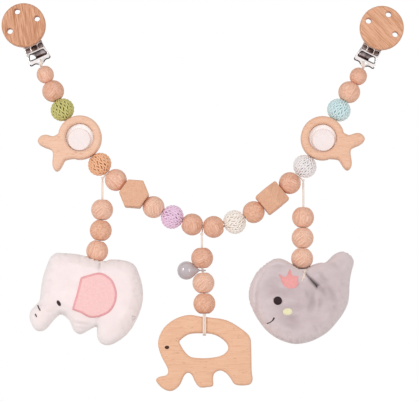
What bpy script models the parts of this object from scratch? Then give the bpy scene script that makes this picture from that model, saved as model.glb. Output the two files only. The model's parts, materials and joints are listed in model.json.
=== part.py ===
"""Pram chain toy, modelled at its real size in metres, +Z up, the front towards -Y.

A string of wooden and crocheted beads hangs between two sprung clips with wooden discs.
Three cords hang from it, each with three beads and a toy: a plush elephant, a wooden
elephant with a rattle drop, and a plush whale. The origin is at the left clip's jaw, and
the string lies in the plane Y = 0.
"""

import math

import bmesh
import bpy
from mathutils import Matrix, Vector

MM = 0.001

# Fits shared by every piece
GAP = 0.3 * MM
OVERRUN = 5 * MM
MERGE = 0.01 * MM

# Cord and the bores that it runs through
CORD_DIAMETER = 1.5 * MM
BORE_DIAMETER = 2.4 * MM
BORE_CHAMFER = 1.0 * MM
KNOT_DIAMETER = 2.4 * MM
BEAD_GAP = 0.25 * MM
TIE_GAP = 1.5 * MM

# Beads: the length along the cord, then the diameter across it
SMALL_BEAD_LENGTH = 11.4 * MM
SMALL_BEAD_DIAMETER = 11.9 * MM
ROUND_BEAD_LENGTH = 13.5 * MM
ROUND_BEAD_DIAMETER = 15.2 * MM
CROCHET_BEAD_LENGTH = 14.8 * MM
CROCHET_BEAD_DIAMETER = 16.6 * MM
HEX_BEAD_ACROSS_FLATS = 17.8 * MM
HEX_BEAD_WIDTH = 16.0 * MM
HEX_BEAD_EDGE = 1.8 * MM
HEX_SIDES = 6
HEX_SHARP_DEG = 50
BEAD_RIBS = 12
BEAD_STEPS = 6
BORE_SIDES = 12

# Whale-shaped rings, with the disc that fills each one's hole
RING_RADIUS = 15.1 * MM
RING_HOLE_RADIUS = 9.7 * MM
RING_THICKNESS = 12.0 * MM
RING_EDGE = 1.6 * MM
RING_BORE_DEG = 36.0
RING_ARC_DEG = (-108.0, 176.0)
RING_ARC_STEPS = 18
RING_BORE_LENGTH = 45.0 * MM
RING_TAIL_SHARES = (
    (-1.21, 0.0), (-1.53, 0.06), (-1.77, 0.0), (-1.91, -0.21), (-1.84, -0.37),
    (-1.6, -0.5), (-1.3, -0.6), (-1.22, -0.76), (-1.22, -0.95), (-1.24, -1.24),
    (-1.16, -1.45), (-1.0, -1.58), (-0.81, -1.45), (-0.69, -1.22), (-0.6, -1.05),
)
INSERT_THICKNESS = 8.0 * MM
INSERT_RIM = 1.5 * MM
INSERT_STEP = 0.8 * MM
INSERT_EDGE = 0.6 * MM
INSERT_RIBS = 20

# Wooden disc of a clip
DISC_RADIUS = 15.2 * MM
DISC_THICKNESS = 7.0 * MM
DISC_EDGE = 1.4 * MM
DISC_DROP = 3.8 * MM
DISC_VENT_RADIUS = 2.0 * MM
DISC_VENT_CIRCLE = 10.3 * MM
DISC_RIBS = 24
VENT_SIDES = 12

# Pressed steel frame of a clip, with heights above the middle of the cord bar. The lip's
# points are shares of half the foot's width and of the lip's height
SHEET = 0.8 * MM
FRAME_WIDTH = 13.6 * MM
FRAME_FOOT_WIDTH = 15.7 * MM
FRAME_CROWN = 3.4 * MM
BAR_HALF_HEIGHT = 0.6 * MM
BAR_HALF_WIDTH = 1.6 * MM
LIP_HEIGHT = 1.5 * MM
LIP_SHARES = ((0.4, 0.7), (0.62, 1.0), (0.86, 0.9), (1.0, 1.2), (1.0, 1.8))
WINDOW_BOTTOM = 3.9 * MM
WINDOW_TOP = 8.7 * MM
WINDOW_WALL = 1.2 * MM
CORD_HOLE_HALF_WIDTH = 2.4 * MM
CORD_HOLE_TOP = 3.2 * MM
SLOT_BOTTOM = 10.3 * MM
SLOT_TOP = 13.2 * MM
SLOT_HALF_WIDTH = 1.8 * MM
SLOT_BAR = 1.6 * MM
SLOT_STEP = 0.2 * MM
CHANNEL_BOTTOM = 14.0 * MM
CHANNEL_DEPTH = 1.8 * MM
CHEEK_INSET = 0.1 * MM

# Lever, hinge pin and jaw of a clip
PIVOT_HEIGHT = 31.0 * MM
PIVOT_DEPTH = 4.6 * MM
PIN_DIAMETER = 1.5 * MM
PIN_HEAD = 0.4 * MM
PIN_SIDES = 12
EAR_RADIUS = 2.0 * MM
EAR_ARC_DEG = (-50, 110)
EAR_STEPS = 8
KNUCKLE_RADIUS = 2.0 * MM
KNUCKLE_STEPS = 9
LEVER_BOTTOM = 13.6 * MM
LEVER_OPEN_DEG = 70.0
COMB_DEG = -10.0
COMB_TEETH = 7
COMB_DEPTH = 0.9 * MM
PAD_THICKNESS = 0.8 * MM
PAD_HALF_HEIGHT = 3.0 * MM
PAD_HALF_WIDTH = 5.6 * MM
PAD_EDGE = 0.3 * MM

# End loops of the main cord, round the bar of each clip's frame
END_LOOP_RADIUS = 2.15 * MM
END_LOOP_STEPS = 12
LEFT_CLIP_TILT_DEG = -25.0
RIGHT_CLIP_TILT_DEG = 27.0

# Hanging cords: the tie ring, its reach out of the groove between two beads, then the fall
TIE_DIAMETER = 1.2 * MM
TIE_RING_RADIUS = 1.65 * MM
TIE_RING_STEPS = 10
TIE_REACH = 5.2 * MM
TIE_ARM_SHARE = 0.9
LEFT_FALL = 15.0 * MM
MIDDLE_FALL = 9.3 * MM
RIGHT_FALL = 18.7 * MM
CORD_TAIL = 3.4 * MM
CORD_STEP = 4.5 * MM
KNOT_FACETS = (10, 6)
PENDANT_BEAD_GAP = 0.4 * MM

# Rattle drop between two beads of the middle cord
DROP_GAP = 3.7 * MM
DROP_RADIUS = 6.4 * MM
DROP_REACH = 11.3 * MM
DROP_WALL = 0.8 * MM
DROP_EYE_RADIUS = 1.7 * MM
DROP_EYE_WIRE = 1.0 * MM
DROP_SLIT = 1.3 * MM
DROP_SLIT_DEPTH_SHARE = 0.42
PELLET_RADIUS = 2.0 * MM
PELLET_LIFT = 0.7 * MM
PELLET_FACETS = (12, 8)
DROP_RIBS = 16
DROP_STEPS = 9
DROP_EYE_STEPS = 12
DROP_HOLLOW_FACETS = (14, 8)

# Wooden elephant with its oval hole, and the loop of cord round its top rail
ELEPHANT_WIDTH = 66.2 * MM
ELEPHANT_HEIGHT = 51.9 * MM
ELEPHANT_THICKNESS = 12.0 * MM
ELEPHANT_EDGE = 1.3 * MM
ELEPHANT_CUTS = 2
ELEPHANT_SHARES = (
    (-0.14, 0.5), (-0.05, 0.48), (0.05, 0.467), (0.23, 0.43), (0.39, 0.31), (0.47, 0.21),
    (0.485, 0.08),
    (0.49, -0.23), (0.5, -0.34), (0.485, -0.4), (0.44, -0.425), (0.35, -0.425),
    (0.305, -0.4), (0.275, -0.34),
    (0.23, -0.27), (0.17, -0.23), (0.11, -0.26), (0.09, -0.33), (0.09, -0.43),
    (0.03, -0.45), (-0.05, -0.45), (-0.1, -0.37), (-0.13, -0.29), (-0.17, -0.26),
    (-0.21, -0.3), (-0.26, -0.43), (-0.34, -0.5), (-0.43, -0.47), (-0.5, -0.37),
    (-0.47, -0.32), (-0.39, -0.29), (-0.38, -0.21), (-0.45, -0.03), (-0.48, 0.13),
    (-0.44, 0.29), (-0.35, 0.41), (-0.24, 0.48),
)
OVAL_HALF_WIDTH_SHARE = 0.2462
OVAL_HALF_HEIGHT_SHARE = 0.1657
OVAL_LIFT_SHARE = 0.0944
OVAL_STEPS = 24
RAIL_TOP_SHARE = 0.4836
RAIL_LOOP_WIDTH_SHARE = 1.5
RAIL_LOOP_STEPS = 5

# Plush elephant: places are shares of the body's width and height, measured from the
# middle of the cord's lowest bead for the body, and from the body for its other parts
PLUSH_BODY_SIZE = (52.4 * MM, 26.0 * MM, 49.7 * MM)
PLUSH_BODY_PLACE_SHARE = (0.109, -0.608)
PLUSH_BODY_SHARES = (
    (-0.28, 0.5), (-0.16, 0.46), (-0.03, 0.47), (0.17, 0.49), (0.34, 0.45), (0.45, 0.31),
    (0.5, 0.07), (0.49, -0.12), (0.41, -0.31), (0.24, -0.44), (0.03, -0.49),
    (-0.2, -0.43), (-0.38, -0.28), (-0.49, -0.04), (-0.46, 0.28),
)
PLUSH_HEAD_SIZE = (42.8 * MM, 23.0 * MM, 54.5 * MM)
PLUSH_HEAD_PLACE_SHARE = (-0.594, 0.04)
PLUSH_HEAD_SHARES = (
    (-0.16, 0.44), (-0.06, 0.5), (0.23, 0.49), (0.42, 0.43), (0.5, 0.25), (0.48, 0.0),
    (0.35, -0.2), (0.13, -0.33), (0.01, -0.29), (-0.14, -0.39), (-0.26, -0.49),
    (-0.4, -0.48), (-0.5, -0.32), (-0.4, -0.16), (-0.32, -0.04), (-0.28, 0.2),
)
PLUSH_FORELEG_SIZE = (21.4 * MM, 16.0 * MM, 19.3 * MM)
PLUSH_FORELEG_PLACE_SHARE = (-0.317, -0.348)
PLUSH_FORELEG_SHARES = (
    (-0.48, 0.14), (-0.29, -0.29), (-0.1, -0.5), (0.1, -0.48), (0.48, -0.25),
    (0.52, 0.18), (0.23, 0.5), (-0.23, 0.5),
)
PLUSH_HINDLEG_SIZE = (26.9 * MM, 19.0 * MM, 28.3 * MM)
PLUSH_HINDLEG_PLACE_SHARE = (0.143, -0.416)
PLUSH_HINDLEG_SHARES = (
    (-0.49, -0.02), (-0.47, -0.33), (-0.33, -0.49), (-0.13, -0.49), (0.1, -0.38),
    (0.33, -0.17), (0.51, 0.12), (0.36, 0.46), (-0.1, 0.51), (-0.41, 0.32),
)

# Plush whale, placed in the same way
WHALE_BODY_SIZE = (67.6 * MM, 27.0 * MM, 59.3 * MM)
WHALE_BODY_PLACE_SHARE = (-0.044, -0.503)
WHALE_BODY_SHARES = (
    (-0.35, 0.42), (-0.28, 0.48), (-0.17, 0.51), (-0.06, 0.45), (0.02, 0.4),
    (0.11, 0.35), (0.26, 0.27), (0.42, 0.12), (0.5, -0.03), (0.45, -0.17),
    (0.32, -0.35), (0.11, -0.47), (-0.07, -0.49), (-0.3, -0.36), (-0.43, -0.16),
    (-0.49, 0.06), (-0.45, 0.27),
)
WHALE_TAIL_SIZE = (34.5 * MM, 15.0 * MM, 37.3 * MM)
WHALE_TAIL_PLACE_SHARE = (0.337, 0.268)
WHALE_TAIL_SHARES = (
    (-0.54, 0.15), (-0.34, 0.26), (-0.12, 0.31), (0.04, 0.44), (0.24, 0.51), (0.42, 0.4),
    (0.47, 0.28), (0.41, -0.02), (0.38, -0.31), (0.32, -0.5), (0.08, -0.5),
    (-0.24, -0.28), (-0.44, -0.06),
)

# How a plush part narrows from its middle seam to its crown: outline share, depth share
PILLOW_SHARES = ((0.93, 0.58), (0.6, 0.97))
PILLOW_CROWN_SHARE = 1.05
PILLOW_SWELL_SHARE = 1.06
DENT_FACETS = (20, 14)
POCKET_SIDES = 10

# Plush toys by cord: material, place of the body, then each part with its size, place,
# outline, whether the bead and the cord's end sink into it, and the parts that cut it
PLUSH_TOYS = {
    "left": ("plush_white", PLUSH_BODY_PLACE_SHARE, (
        ("plush_elephant_body", PLUSH_BODY_SIZE, (0, 0), PLUSH_BODY_SHARES, True, ()),
        ("plush_elephant_head", PLUSH_HEAD_SIZE, PLUSH_HEAD_PLACE_SHARE,
         PLUSH_HEAD_SHARES, True, ("plush_elephant_body",)),
        ("plush_elephant_front_leg", PLUSH_FORELEG_SIZE, PLUSH_FORELEG_PLACE_SHARE,
         PLUSH_FORELEG_SHARES, False, ("plush_elephant_body", "plush_elephant_head")),
        ("plush_elephant_hind_leg", PLUSH_HINDLEG_SIZE, PLUSH_HINDLEG_PLACE_SHARE,
         PLUSH_HINDLEG_SHARES, False, ("plush_elephant_body",)),
    )),
    "right": ("plush_grey", WHALE_BODY_PLACE_SHARE, (
        ("plush_whale_body", WHALE_BODY_SIZE, (0, 0), WHALE_BODY_SHARES, True, ()),
        ("plush_whale_tail", WHALE_TAIL_SIZE, WHALE_TAIL_PLACE_SHARE, WHALE_TAIL_SHARES,
         True, ("plush_whale_body",)),
    )),
}

# Kinds of piece on a cord
SMALL, ROUND, CROCHET, HEXAGON, WHALE_RING = "small", "round", "crochet", "hexagon", "ring"

# The main string from the left clip to the right: name, kind, material, then the direction
# of the cord through the piece, in degrees from straight down towards +X
STRING = (
    ("bead_01_small_round", SMALL, "beech", 26.0),
    ("bead_02_round", ROUND, "beech", 25.0),
    ("bead_03_crochet_green", CROCHET, "cotton_green", 28.0),
    ("whale_ring_left", WHALE_RING, "beech", 34.0),
    ("bead_05_crochet_tan", CROCHET, "cotton_tan", 42.0),
    ("bead_06_round", ROUND, "beech", 50.0),
    ("bead_07_hexagon", HEXAGON, "beech", 54.0),
    ("bead_08_round", ROUND, "beech", 59.0),
    ("bead_09_crochet_lilac", CROCHET, "cotton_lilac", 65.0),
    ("bead_10_round", ROUND, "beech", 74.0),
    ("bead_11_round", ROUND, "beech", 93.0),
    ("bead_12_crochet_cream", CROCHET, "cotton_cream", 112.0),
    ("bead_13_round", ROUND, "beech", 124.0),
    ("bead_14_hexagon", HEXAGON, "beech", 129.0),
    ("bead_15_round", ROUND, "beech", 133.0),
    ("bead_16_crochet_grey", CROCHET, "cotton_grey", 143.0),
    ("whale_ring_right", WHALE_RING, "beech", 150.0),
    ("bead_18_crochet_mint", CROCHET, "cotton_mint", 150.0),
    ("bead_19_round", ROUND, "beech", 150.0),
    ("bead_20_small_round", SMALL, "beech", 150.0),
)
TURNED_HEX_BEAD = "bead_14_hexagon"

# Each hanging cord: name, the piece of the string that it is tied after, its fall, and
# the direction of the cord through each of its beads
PENDANTS = (
    ("left", "bead_05_crochet_tan", LEFT_FALL, (-1.0, -6.0, -13.0)),
    ("middle", "bead_10_round", MIDDLE_FALL, (2.0, 4.0, 1.0)),
    ("right", "bead_15_round", RIGHT_FALL, (-2.0, -1.0, -2.0)),
)

# Material name: colour, metallic, roughness
MATERIALS = {
    "beech": ((0.87, 0.53, 0.36), 0.0, 0.55),
    "steel": ((0.74, 0.73, 0.74), 1.0, 0.22),
    "pad_plastic": ((0.86, 0.85, 0.83), 0.0, 0.5),
    "cord_cotton": ((0.91, 0.84, 0.76), 0.0, 0.9),
    "cotton_green": ((0.55, 0.53, 0.2), 0.0, 0.95),
    "cotton_tan": ((0.86, 0.45, 0.22), 0.0, 0.95),
    "cotton_lilac": ((0.62, 0.52, 0.66), 0.0, 0.95),
    "cotton_cream": ((0.9, 0.85, 0.78), 0.0, 0.95),
    "cotton_grey": ((0.66, 0.65, 0.66), 0.0, 0.95),
    "cotton_mint": ((0.56, 0.75, 0.75), 0.0, 0.95),
    "pearl_insert": ((0.93, 0.83, 0.82), 0.0, 0.35),
    "grey_enamel": ((0.45, 0.42, 0.45), 0.0, 0.15),
    "plush_white": ((0.91, 0.83, 0.81), 0.0, 1.0),
    "plush_grey": ((0.6, 0.52, 0.53), 0.0, 1.0),
}

# Turns a flat outline drawn in X and Y so that it stands in X and Z, facing -Y
STAND = Matrix.Rotation(math.radians(90), 4, "X")
FLIP = Matrix.Rotation(math.radians(180), 4, "Z")


def turn_y(degrees):
    return Matrix.Rotation(math.radians(degrees), 4, "Y")


def move(place):
    return Matrix.Translation(place)


def along(degrees):
    """Unit vector of a cord's direction, in degrees from straight down towards +X."""
    angle = math.radians(degrees)
    return Vector((math.sin(angle), 0, -math.cos(angle)))


def arc(centre, radius, start_deg, end_deg, steps):
    points = []
    for i in range(steps + 1):
        angle = math.radians(start_deg + (end_deg - start_deg) * i / steps)
        x = centre[0] + radius * math.cos(angle)
        y = centre[1] + radius * math.sin(angle)
        points.append((x, y))
    return points


def circle(radius, steps, start_deg=0):
    """Points of a closed circle, without its first point again at the end."""
    turn = 360 / steps
    return arc((0, 0), radius, start_deg, start_deg + 360 - turn, steps - 1)


def in_plane(points):
    """Flat points as points in space, at height zero."""
    return [(x, y, 0) for x, y in points]


def scaled(shares, width, height):
    return [(x * width, y * height) for x, y in shares]


def rounded_loop(points, cuts):
    """A closed smooth outline through hand-set points, by a Catmull-Rom rule."""
    count = len(points)
    loop = []
    for i in range(count):
        a, b, c, d = (Vector(points[(i + k - 1) % count]) for k in range(4))
        for k in range(cuts):
            t = k / cuts
            line = (c - a) * t + (2 * a - 5 * b + 4 * c - d) * t**2
            loop.append(tuple(b + (line + (3 * b - a - 3 * c + d) * t**3) / 2))
    return loop


def mirrored_loop(right_half):
    """A closed outline from the points of its right half, bottom to top."""
    return right_half + [(-x, y) for x, y in reversed(right_half)]


def clear_scene():
    for obj in list(bpy.data.objects):
        bpy.data.objects.remove(obj)


def make_collection(name):
    collection = bpy.data.collections.new(name)
    bpy.context.scene.collection.children.link(collection)
    return collection


def make_materials():
    for name, (colour, metallic, roughness) in MATERIALS.items():
        material = bpy.data.materials.new(name)
        material.use_nodes = True
        shader = material.node_tree.nodes["Principled BSDF"]
        shader.inputs["Base Color"].default_value = (*colour, 1)
        shader.inputs["Metallic"].default_value = metallic
        shader.inputs["Roughness"].default_value = roughness
        material.diffuse_color = (*colour, 1)


def evaluated_mesh(name, source):
    """The closed mesh of an object as the viewport evaluates it, after which it goes."""
    bpy.context.scene.collection.objects.link(source)
    graph = bpy.context.evaluated_depsgraph_get()
    mesh = bpy.data.meshes.new_from_object(source.evaluated_get(graph))
    mesh.name = name
    bpy.data.objects.remove(source)
    bm = bmesh.new()
    bm.from_mesh(mesh)
    bmesh.ops.remove_doubles(bm, verts=bm.verts, dist=MERGE)
    bmesh.ops.recalc_face_normals(bm, faces=bm.faces)
    bm.to_mesh(mesh)
    bm.free()
    return mesh


def add_spline(curve, points, cyclic):
    spline = curve.splines.new("POLY")
    spline.points.add(len(points) - 1)
    for point, place in zip(spline.points, points):
        point.co = (*place, 1)
    spline.use_cyclic_u = cyclic


def plate_mesh(name, loops, thickness):
    """A flat plate in X and Y from an outline and its holes."""
    curve = bpy.data.curves.new(name, "CURVE")
    curve.dimensions = "2D"
    curve.fill_mode = "BOTH"
    curve.extrude = thickness / 2
    for loop in loops:
        add_spline(curve, in_plane(loop), True)
    return evaluated_mesh(name, bpy.data.objects.new(name, curve))


def tube_mesh(name, points, diameter, cyclic=False):
    curve = bpy.data.curves.new(name, "CURVE")
    curve.dimensions = "3D"
    curve.bevel_depth = diameter / 2
    curve.bevel_resolution = 2
    curve.use_fill_caps = True
    add_spline(curve, points, cyclic)
    return evaluated_mesh(name, bpy.data.objects.new(name, curve))


def profile_mesh(name, points, closed):
    """A profile in X and Z, for a Screw modifier to turn about Z."""
    bm = bmesh.new()
    verts = [bm.verts.new((x, 0, z)) for x, z in points]
    for first, second in zip(verts, verts[1:]):
        bm.edges.new((first, second))
    if closed:
        bm.edges.new((verts[-1], verts[0]))
    mesh = bpy.data.meshes.new(name)
    bm.to_mesh(mesh)
    bm.free()
    return mesh


def rod_mesh(name, radius, length, sides):
    bm = bmesh.new()
    bmesh.ops.create_cone(
        bm, cap_ends=True, segments=sides, radius1=radius, radius2=radius, depth=length
    )
    mesh = bpy.data.meshes.new(name)
    bm.to_mesh(mesh)
    bm.free()
    return mesh


def ball_mesh(name, radius, facets):
    bm = bmesh.new()
    sides, rings = facets
    bmesh.ops.create_uvsphere(bm, u_segments=sides, v_segments=rings, radius=radius)
    mesh = bpy.data.meshes.new(name)
    bm.to_mesh(mesh)
    bm.free()
    return mesh


def box_mesh(name, size):
    bm = bmesh.new()
    bmesh.ops.create_cube(bm, size=1)
    bmesh.ops.scale(bm, vec=size, verts=bm.verts)
    mesh = bpy.data.meshes.new(name)
    bm.to_mesh(mesh)
    bm.free()
    return mesh


def half_pillow_mesh(name, outline, half_depth):
    """The front half of a plush part as a coarse cage, open at its seam."""
    bm = bmesh.new()
    seam = [bm.verts.new((x, 0, z)) for x, z in outline]
    face = bm.faces.new(seam)
    face.normal_update()
    if face.normal.y > 0:
        face.normal_flip()
    middle = face.calc_center_median()
    outer_share, outer_depth = 1.0, 0.0
    for share, depth_share in PILLOW_SHARES:
        made = bmesh.ops.extrude_face_region(bm, geom=[face])
        bmesh.ops.delete(bm, geom=[face], context="FACES_ONLY")
        face = next(item for item in made["geom"] if isinstance(item, bmesh.types.BMFace))
        for vert in face.verts:
            flat = (vert.co - middle) * (share / outer_share)
            vert.co = (middle.x + flat.x, -half_depth * depth_share, middle.z + flat.z)
        outer_share, outer_depth = share, depth_share
    crown = bmesh.ops.poke(bm, faces=[face])["verts"][0]
    crown.co.y = -half_depth * PILLOW_CROWN_SHARE
    mesh = bpy.data.meshes.new(name)
    bm.to_mesh(mesh)
    bm.free()
    return mesh


class Model:
    """Adds each piece to its collection and keeps what later pieces are placed from."""

    def __init__(self):
        self.parts = make_collection("pram_chain_toy")
        self.cutters = make_collection("cutters")
        self.piece = {}

    def axis(self, name, place):
        """An empty on a joint's axis."""
        empty = bpy.data.objects.new(name, None)
        empty.empty_display_size = ROUND_BEAD_LENGTH
        empty.matrix_basis = move(place)
        self.parts.objects.link(empty)
        return empty

    def add(self, name, mesh, matrix, material, parent=None):
        obj = bpy.data.objects.new(name, mesh)
        self.parts.objects.link(obj)
        if not mesh.materials:
            mesh.materials.append(bpy.data.materials[material])
        if parent:
            obj.parent = parent
            obj.matrix_parent_inverse = parent.matrix_basis.inverted()
        obj.matrix_basis = matrix
        mesh.shade_smooth()
        self.piece[name] = obj
        return obj

    def guide(self, name, mesh, matrix):
        """A hidden shape that another piece is cut by or joined with."""
        obj = bpy.data.objects.new(name, mesh)
        obj.hide_render = True
        obj.display_type = "WIRE"
        obj.matrix_basis = matrix
        self.cutters.objects.link(obj)
        return obj


def boolean(obj, operation, other, solver="EXACT"):
    modifier = obj.modifiers.new(other.name, "BOOLEAN")
    modifier.operation = operation
    modifier.object = other
    modifier.solver = solver


def cut(obj, other):
    boolean(obj, "DIFFERENCE", other)


def join(obj, other, solver="EXACT"):
    boolean(obj, "UNION", other, solver)


def spin(obj, steps):
    modifier = obj.modifiers.new("turned", "SCREW")
    modifier.steps = steps
    modifier.render_steps = steps
    modifier.use_merge_vertices = True
    modifier.merge_threshold = MERGE


def ease(obj, width, segments=2, sharper_than_deg=80):
    modifier = obj.modifiers.new("eased_edges", "BEVEL")
    modifier.width = width
    modifier.segments = segments
    modifier.limit_method = "ANGLE"
    modifier.use_clamp_overlap = False
    modifier.angle_limit = math.radians(sharper_than_deg)


def swell(obj, distance):
    modifier = obj.modifiers.new("clearance", "DISPLACE")
    modifier.strength = distance
    modifier.mid_level = 0


def bead_profile(length, diameter):
    """Half section of a round bead with a countersunk bore, as a closed outline."""
    bore = BORE_DIAMETER / 2
    mouth = bore + BORE_CHAMFER
    radius = diameter / 2
    pole = length / 2 / math.sqrt(1 - (mouth / radius) ** 2)
    start = math.acos(mouth / radius)
    points = []
    for i in range(BEAD_STEPS + 1):
        angle = start * (1 - 2 * i / BEAD_STEPS)
        points.append((radius * math.cos(angle), pole * math.sin(angle)))
    points.append((bore, BORE_CHAMFER - length / 2))
    points.append((bore, length / 2 - BORE_CHAMFER))
    return points


def piece_length(kind):
    return {
        SMALL: SMALL_BEAD_LENGTH,
        ROUND: ROUND_BEAD_LENGTH,
        CROCHET: CROCHET_BEAD_LENGTH,
        HEXAGON: HEX_BEAD_ACROSS_FLATS,
        WHALE_RING: 2 * RING_RADIUS,
    }[kind]


def bead_space(heading, next_heading):
    """Gap between two pieces that keeps the mouths of their bores apart at a bend."""
    mouth = BORE_DIAMETER / 2 + BORE_CHAMFER
    bend = math.radians(abs(next_heading - heading))
    return BEAD_GAP + 2 * mouth * math.sin(bend / 2)


def lay_out_string():
    """Where each piece of the string sits, where the cords tie, and the right clip's bar."""
    bar = turn_y(LEFT_CLIP_TILT_DEG) @ Vector((0, 0, -PIVOT_HEIGHT))
    place = bar + Vector((0, 0, -END_LOOP_RADIUS))
    tied = {after for _, after, _, _ in PENDANTS}
    route = [place.copy()]
    places, ties = {}, {}
    place = place + along(STRING[0][3]) * (CORD_DIAMETER / 2 + GAP)
    for i, (name, kind, _, heading) in enumerate(STRING):
        half = along(heading) * (piece_length(kind) / 2)
        route.append(place.copy())
        place = place + half
        places[name] = place.copy()
        place = place + half
        route.append(place.copy())
        if i + 1 < len(STRING):
            between = (heading + STRING[i + 1][3]) / 2
            space = bead_space(heading, STRING[i + 1][3])
            if name in tied:
                space = max(space, TIE_GAP)
                ties[name] = place + along(between) * (space / 2), between
            place = place + along(between) * space
    place = place + along(STRING[-1][3]) * (CORD_DIAMETER / 2 + GAP)
    route.append(place.copy())
    far_bar = place + Vector((0, 0, END_LOOP_RADIUS))
    return bar, far_bar, route, places, ties


def add_string_pieces(model, places, swing):
    meshes = {
        kind: profile_mesh(f"{kind}_bead_profile", bead_profile(length, diameter), True)
        for kind, length, diameter in (
            (SMALL, SMALL_BEAD_LENGTH, SMALL_BEAD_DIAMETER),
            (ROUND, ROUND_BEAD_LENGTH, ROUND_BEAD_DIAMETER),
        )
    }
    corner = HEX_BEAD_ACROSS_FLATS / math.sqrt(3)
    hexagon = plate_mesh("hexagon_bead", [circle(corner, HEX_SIDES)], HEX_BEAD_WIDTH)
    ring = ring_mesh()
    for name, kind, material, heading in STRING:
        at = move(places[name]) @ turn_y(-heading)
        if kind == HEXAGON:
            quarter = math.radians(90 if name == TURNED_HEX_BEAD else 0)
            matrix = at @ Matrix.Rotation(quarter, 4, "Z") @ STAND
            bead = model.add(name, hexagon, matrix, material, swing)
            ease(bead, HEX_BEAD_EDGE, sharper_than_deg=HEX_SHARP_DEG)
            length = HEX_BEAD_ACROSS_FLATS + OVERRUN
            cut(bead, bore_guide(model, name, at, length))
        elif kind == WHALE_RING:
            add_whale_ring(model, name, ring, places[name], heading, swing)
        elif kind == CROCHET:
            profile = bead_profile(CROCHET_BEAD_LENGTH, CROCHET_BEAD_DIAMETER)
            mesh = profile_mesh(name, profile, True)
            spin(model.add(name, mesh, at, material, swing), BEAD_RIBS)
        else:
            spin(model.add(name, meshes[kind], at, material, swing), BEAD_RIBS)
    return meshes[ROUND]


def bore_guide(model, name, matrix, length):
    bore = rod_mesh(f"{name}_bore", BORE_DIAMETER / 2, length, BORE_SIDES)
    return model.guide(f"{name}_bore", bore, matrix)


def ring_mesh():
    start, end = RING_ARC_DEG
    tail = scaled(RING_TAIL_SHARES, RING_RADIUS, RING_RADIUS)
    outline = arc((0, 0), RING_RADIUS, start, end, RING_ARC_STEPS) + tail
    hole = circle(RING_HOLE_RADIUS, RING_ARC_STEPS)
    return plate_mesh("whale_ring", [outline, hole], RING_THICKNESS)


def add_whale_ring(model, name, mesh, place, heading, swing):
    """A ring with its insert: the right one is the same ring turned to face left."""
    facing_left = heading > 90
    natural = 180 - RING_BORE_DEG if facing_left else RING_BORE_DEG
    at = move(place) @ turn_y(natural - heading)
    stand = FLIP @ STAND if facing_left else STAND
    ring = model.add(name, mesh, at @ stand, "beech", swing)
    ease(ring, RING_EDGE, 1)
    bore = bore_guide(model, name, move(place) @ turn_y(-heading), RING_BORE_LENGTH)
    cut(ring, bore)
    profile = profile_mesh(f"{name}_insert", insert_profile(), False)
    insert = model.add(f"{name}_insert", profile, at @ stand, "pearl_insert", swing)
    spin(insert, INSERT_RIBS)
    cut(insert, bore)


def insert_profile():
    """Half section of the disc: a raised rim, and a middle set down by one step."""
    outer = RING_HOLE_RADIUS - GAP
    half = INSERT_THICKNESS / 2
    inner = outer - INSERT_RIM
    front = [
        (0, half - INSERT_STEP),
        (inner - INSERT_STEP, half - INSERT_STEP),
        (inner, half),
        (outer - INSERT_EDGE, half),
        (outer, half - INSERT_EDGE),
    ]
    return front + [(x, -z) for x, z in reversed(front)]


def add_main_cord(model, bar, far_bar, route, swing):
    """The string's cord with a loop at each end, round the bars of the two clips."""
    mesh = tube_mesh("main_cord", route, CORD_DIAMETER)
    cord = model.add("main_cord", mesh, Matrix.Identity(4), "cord_cotton", swing)
    ring = in_plane(circle(END_LOOP_RADIUS, END_LOOP_STEPS))
    loop = tube_mesh("end_loop", ring, CORD_DIAMETER, cyclic=True)
    turn = (far_bar - bar).to_track_quat("Z", "Y").to_matrix().to_4x4()
    for name, place in (("left_end_loop", bar), ("right_end_loop", far_bar)):
        join(cord, model.guide(name, loop, move(place) @ turn))


def frame_top():
    return PIVOT_HEIGHT + FRAME_CROWN


def clip_outline():
    """Frame plate seen from the front: foot with its wavy lip, waist and straight sides."""
    foot = FRAME_FOOT_WIDTH / 2
    waist = FRAME_WIDTH / 2
    return mirrored_loop(
        [
            (BAR_HALF_WIDTH, -BAR_HALF_HEIGHT),
            (BAR_HALF_WIDTH + BAR_HALF_HEIGHT, 0),
            *scaled(LIP_SHARES, foot, LIP_HEIGHT),
            (waist, WINDOW_TOP + WINDOW_WALL),
            (waist, frame_top() - SHEET),
            (waist - SHEET, frame_top()),
        ]
    )


def clip_holes():
    foot = FRAME_FOOT_WIDTH / 2 - WINDOW_WALL
    waist = FRAME_WIDTH / 2 - WINDOW_WALL
    window = mirrored_loop([(foot, WINDOW_BOTTOM), (waist, WINDOW_TOP)])
    low, high = BAR_HALF_HEIGHT, CORD_HOLE_TOP
    corner = (high - low) / 3
    hole = mirrored_loop(
        [
            (CORD_HOLE_HALF_WIDTH - corner, low),
            (CORD_HOLE_HALF_WIDTH, low + corner),
            (CORD_HOLE_HALF_WIDTH, high - corner),
            (CORD_HOLE_HALF_WIDTH - corner, high),
        ]
    )
    slot = mirrored_loop([(SLOT_HALF_WIDTH, SLOT_BOTTOM), (SLOT_HALF_WIDTH, SLOT_TOP)])
    inner = SLOT_HALF_WIDTH + SLOT_BAR
    outer = FRAME_WIDTH / 2 - SHEET
    low = SLOT_BOTTOM + SLOT_STEP
    high = SLOT_TOP - SLOT_STEP
    sides = [
        [(side * x, z + side * SLOT_STEP / 2) for x, z in
         ((inner, low), (outer, low), (outer, high), (inner, high))]
        for side in (1, -1)
    ]
    return [window, hole, slot, *sides]


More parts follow.
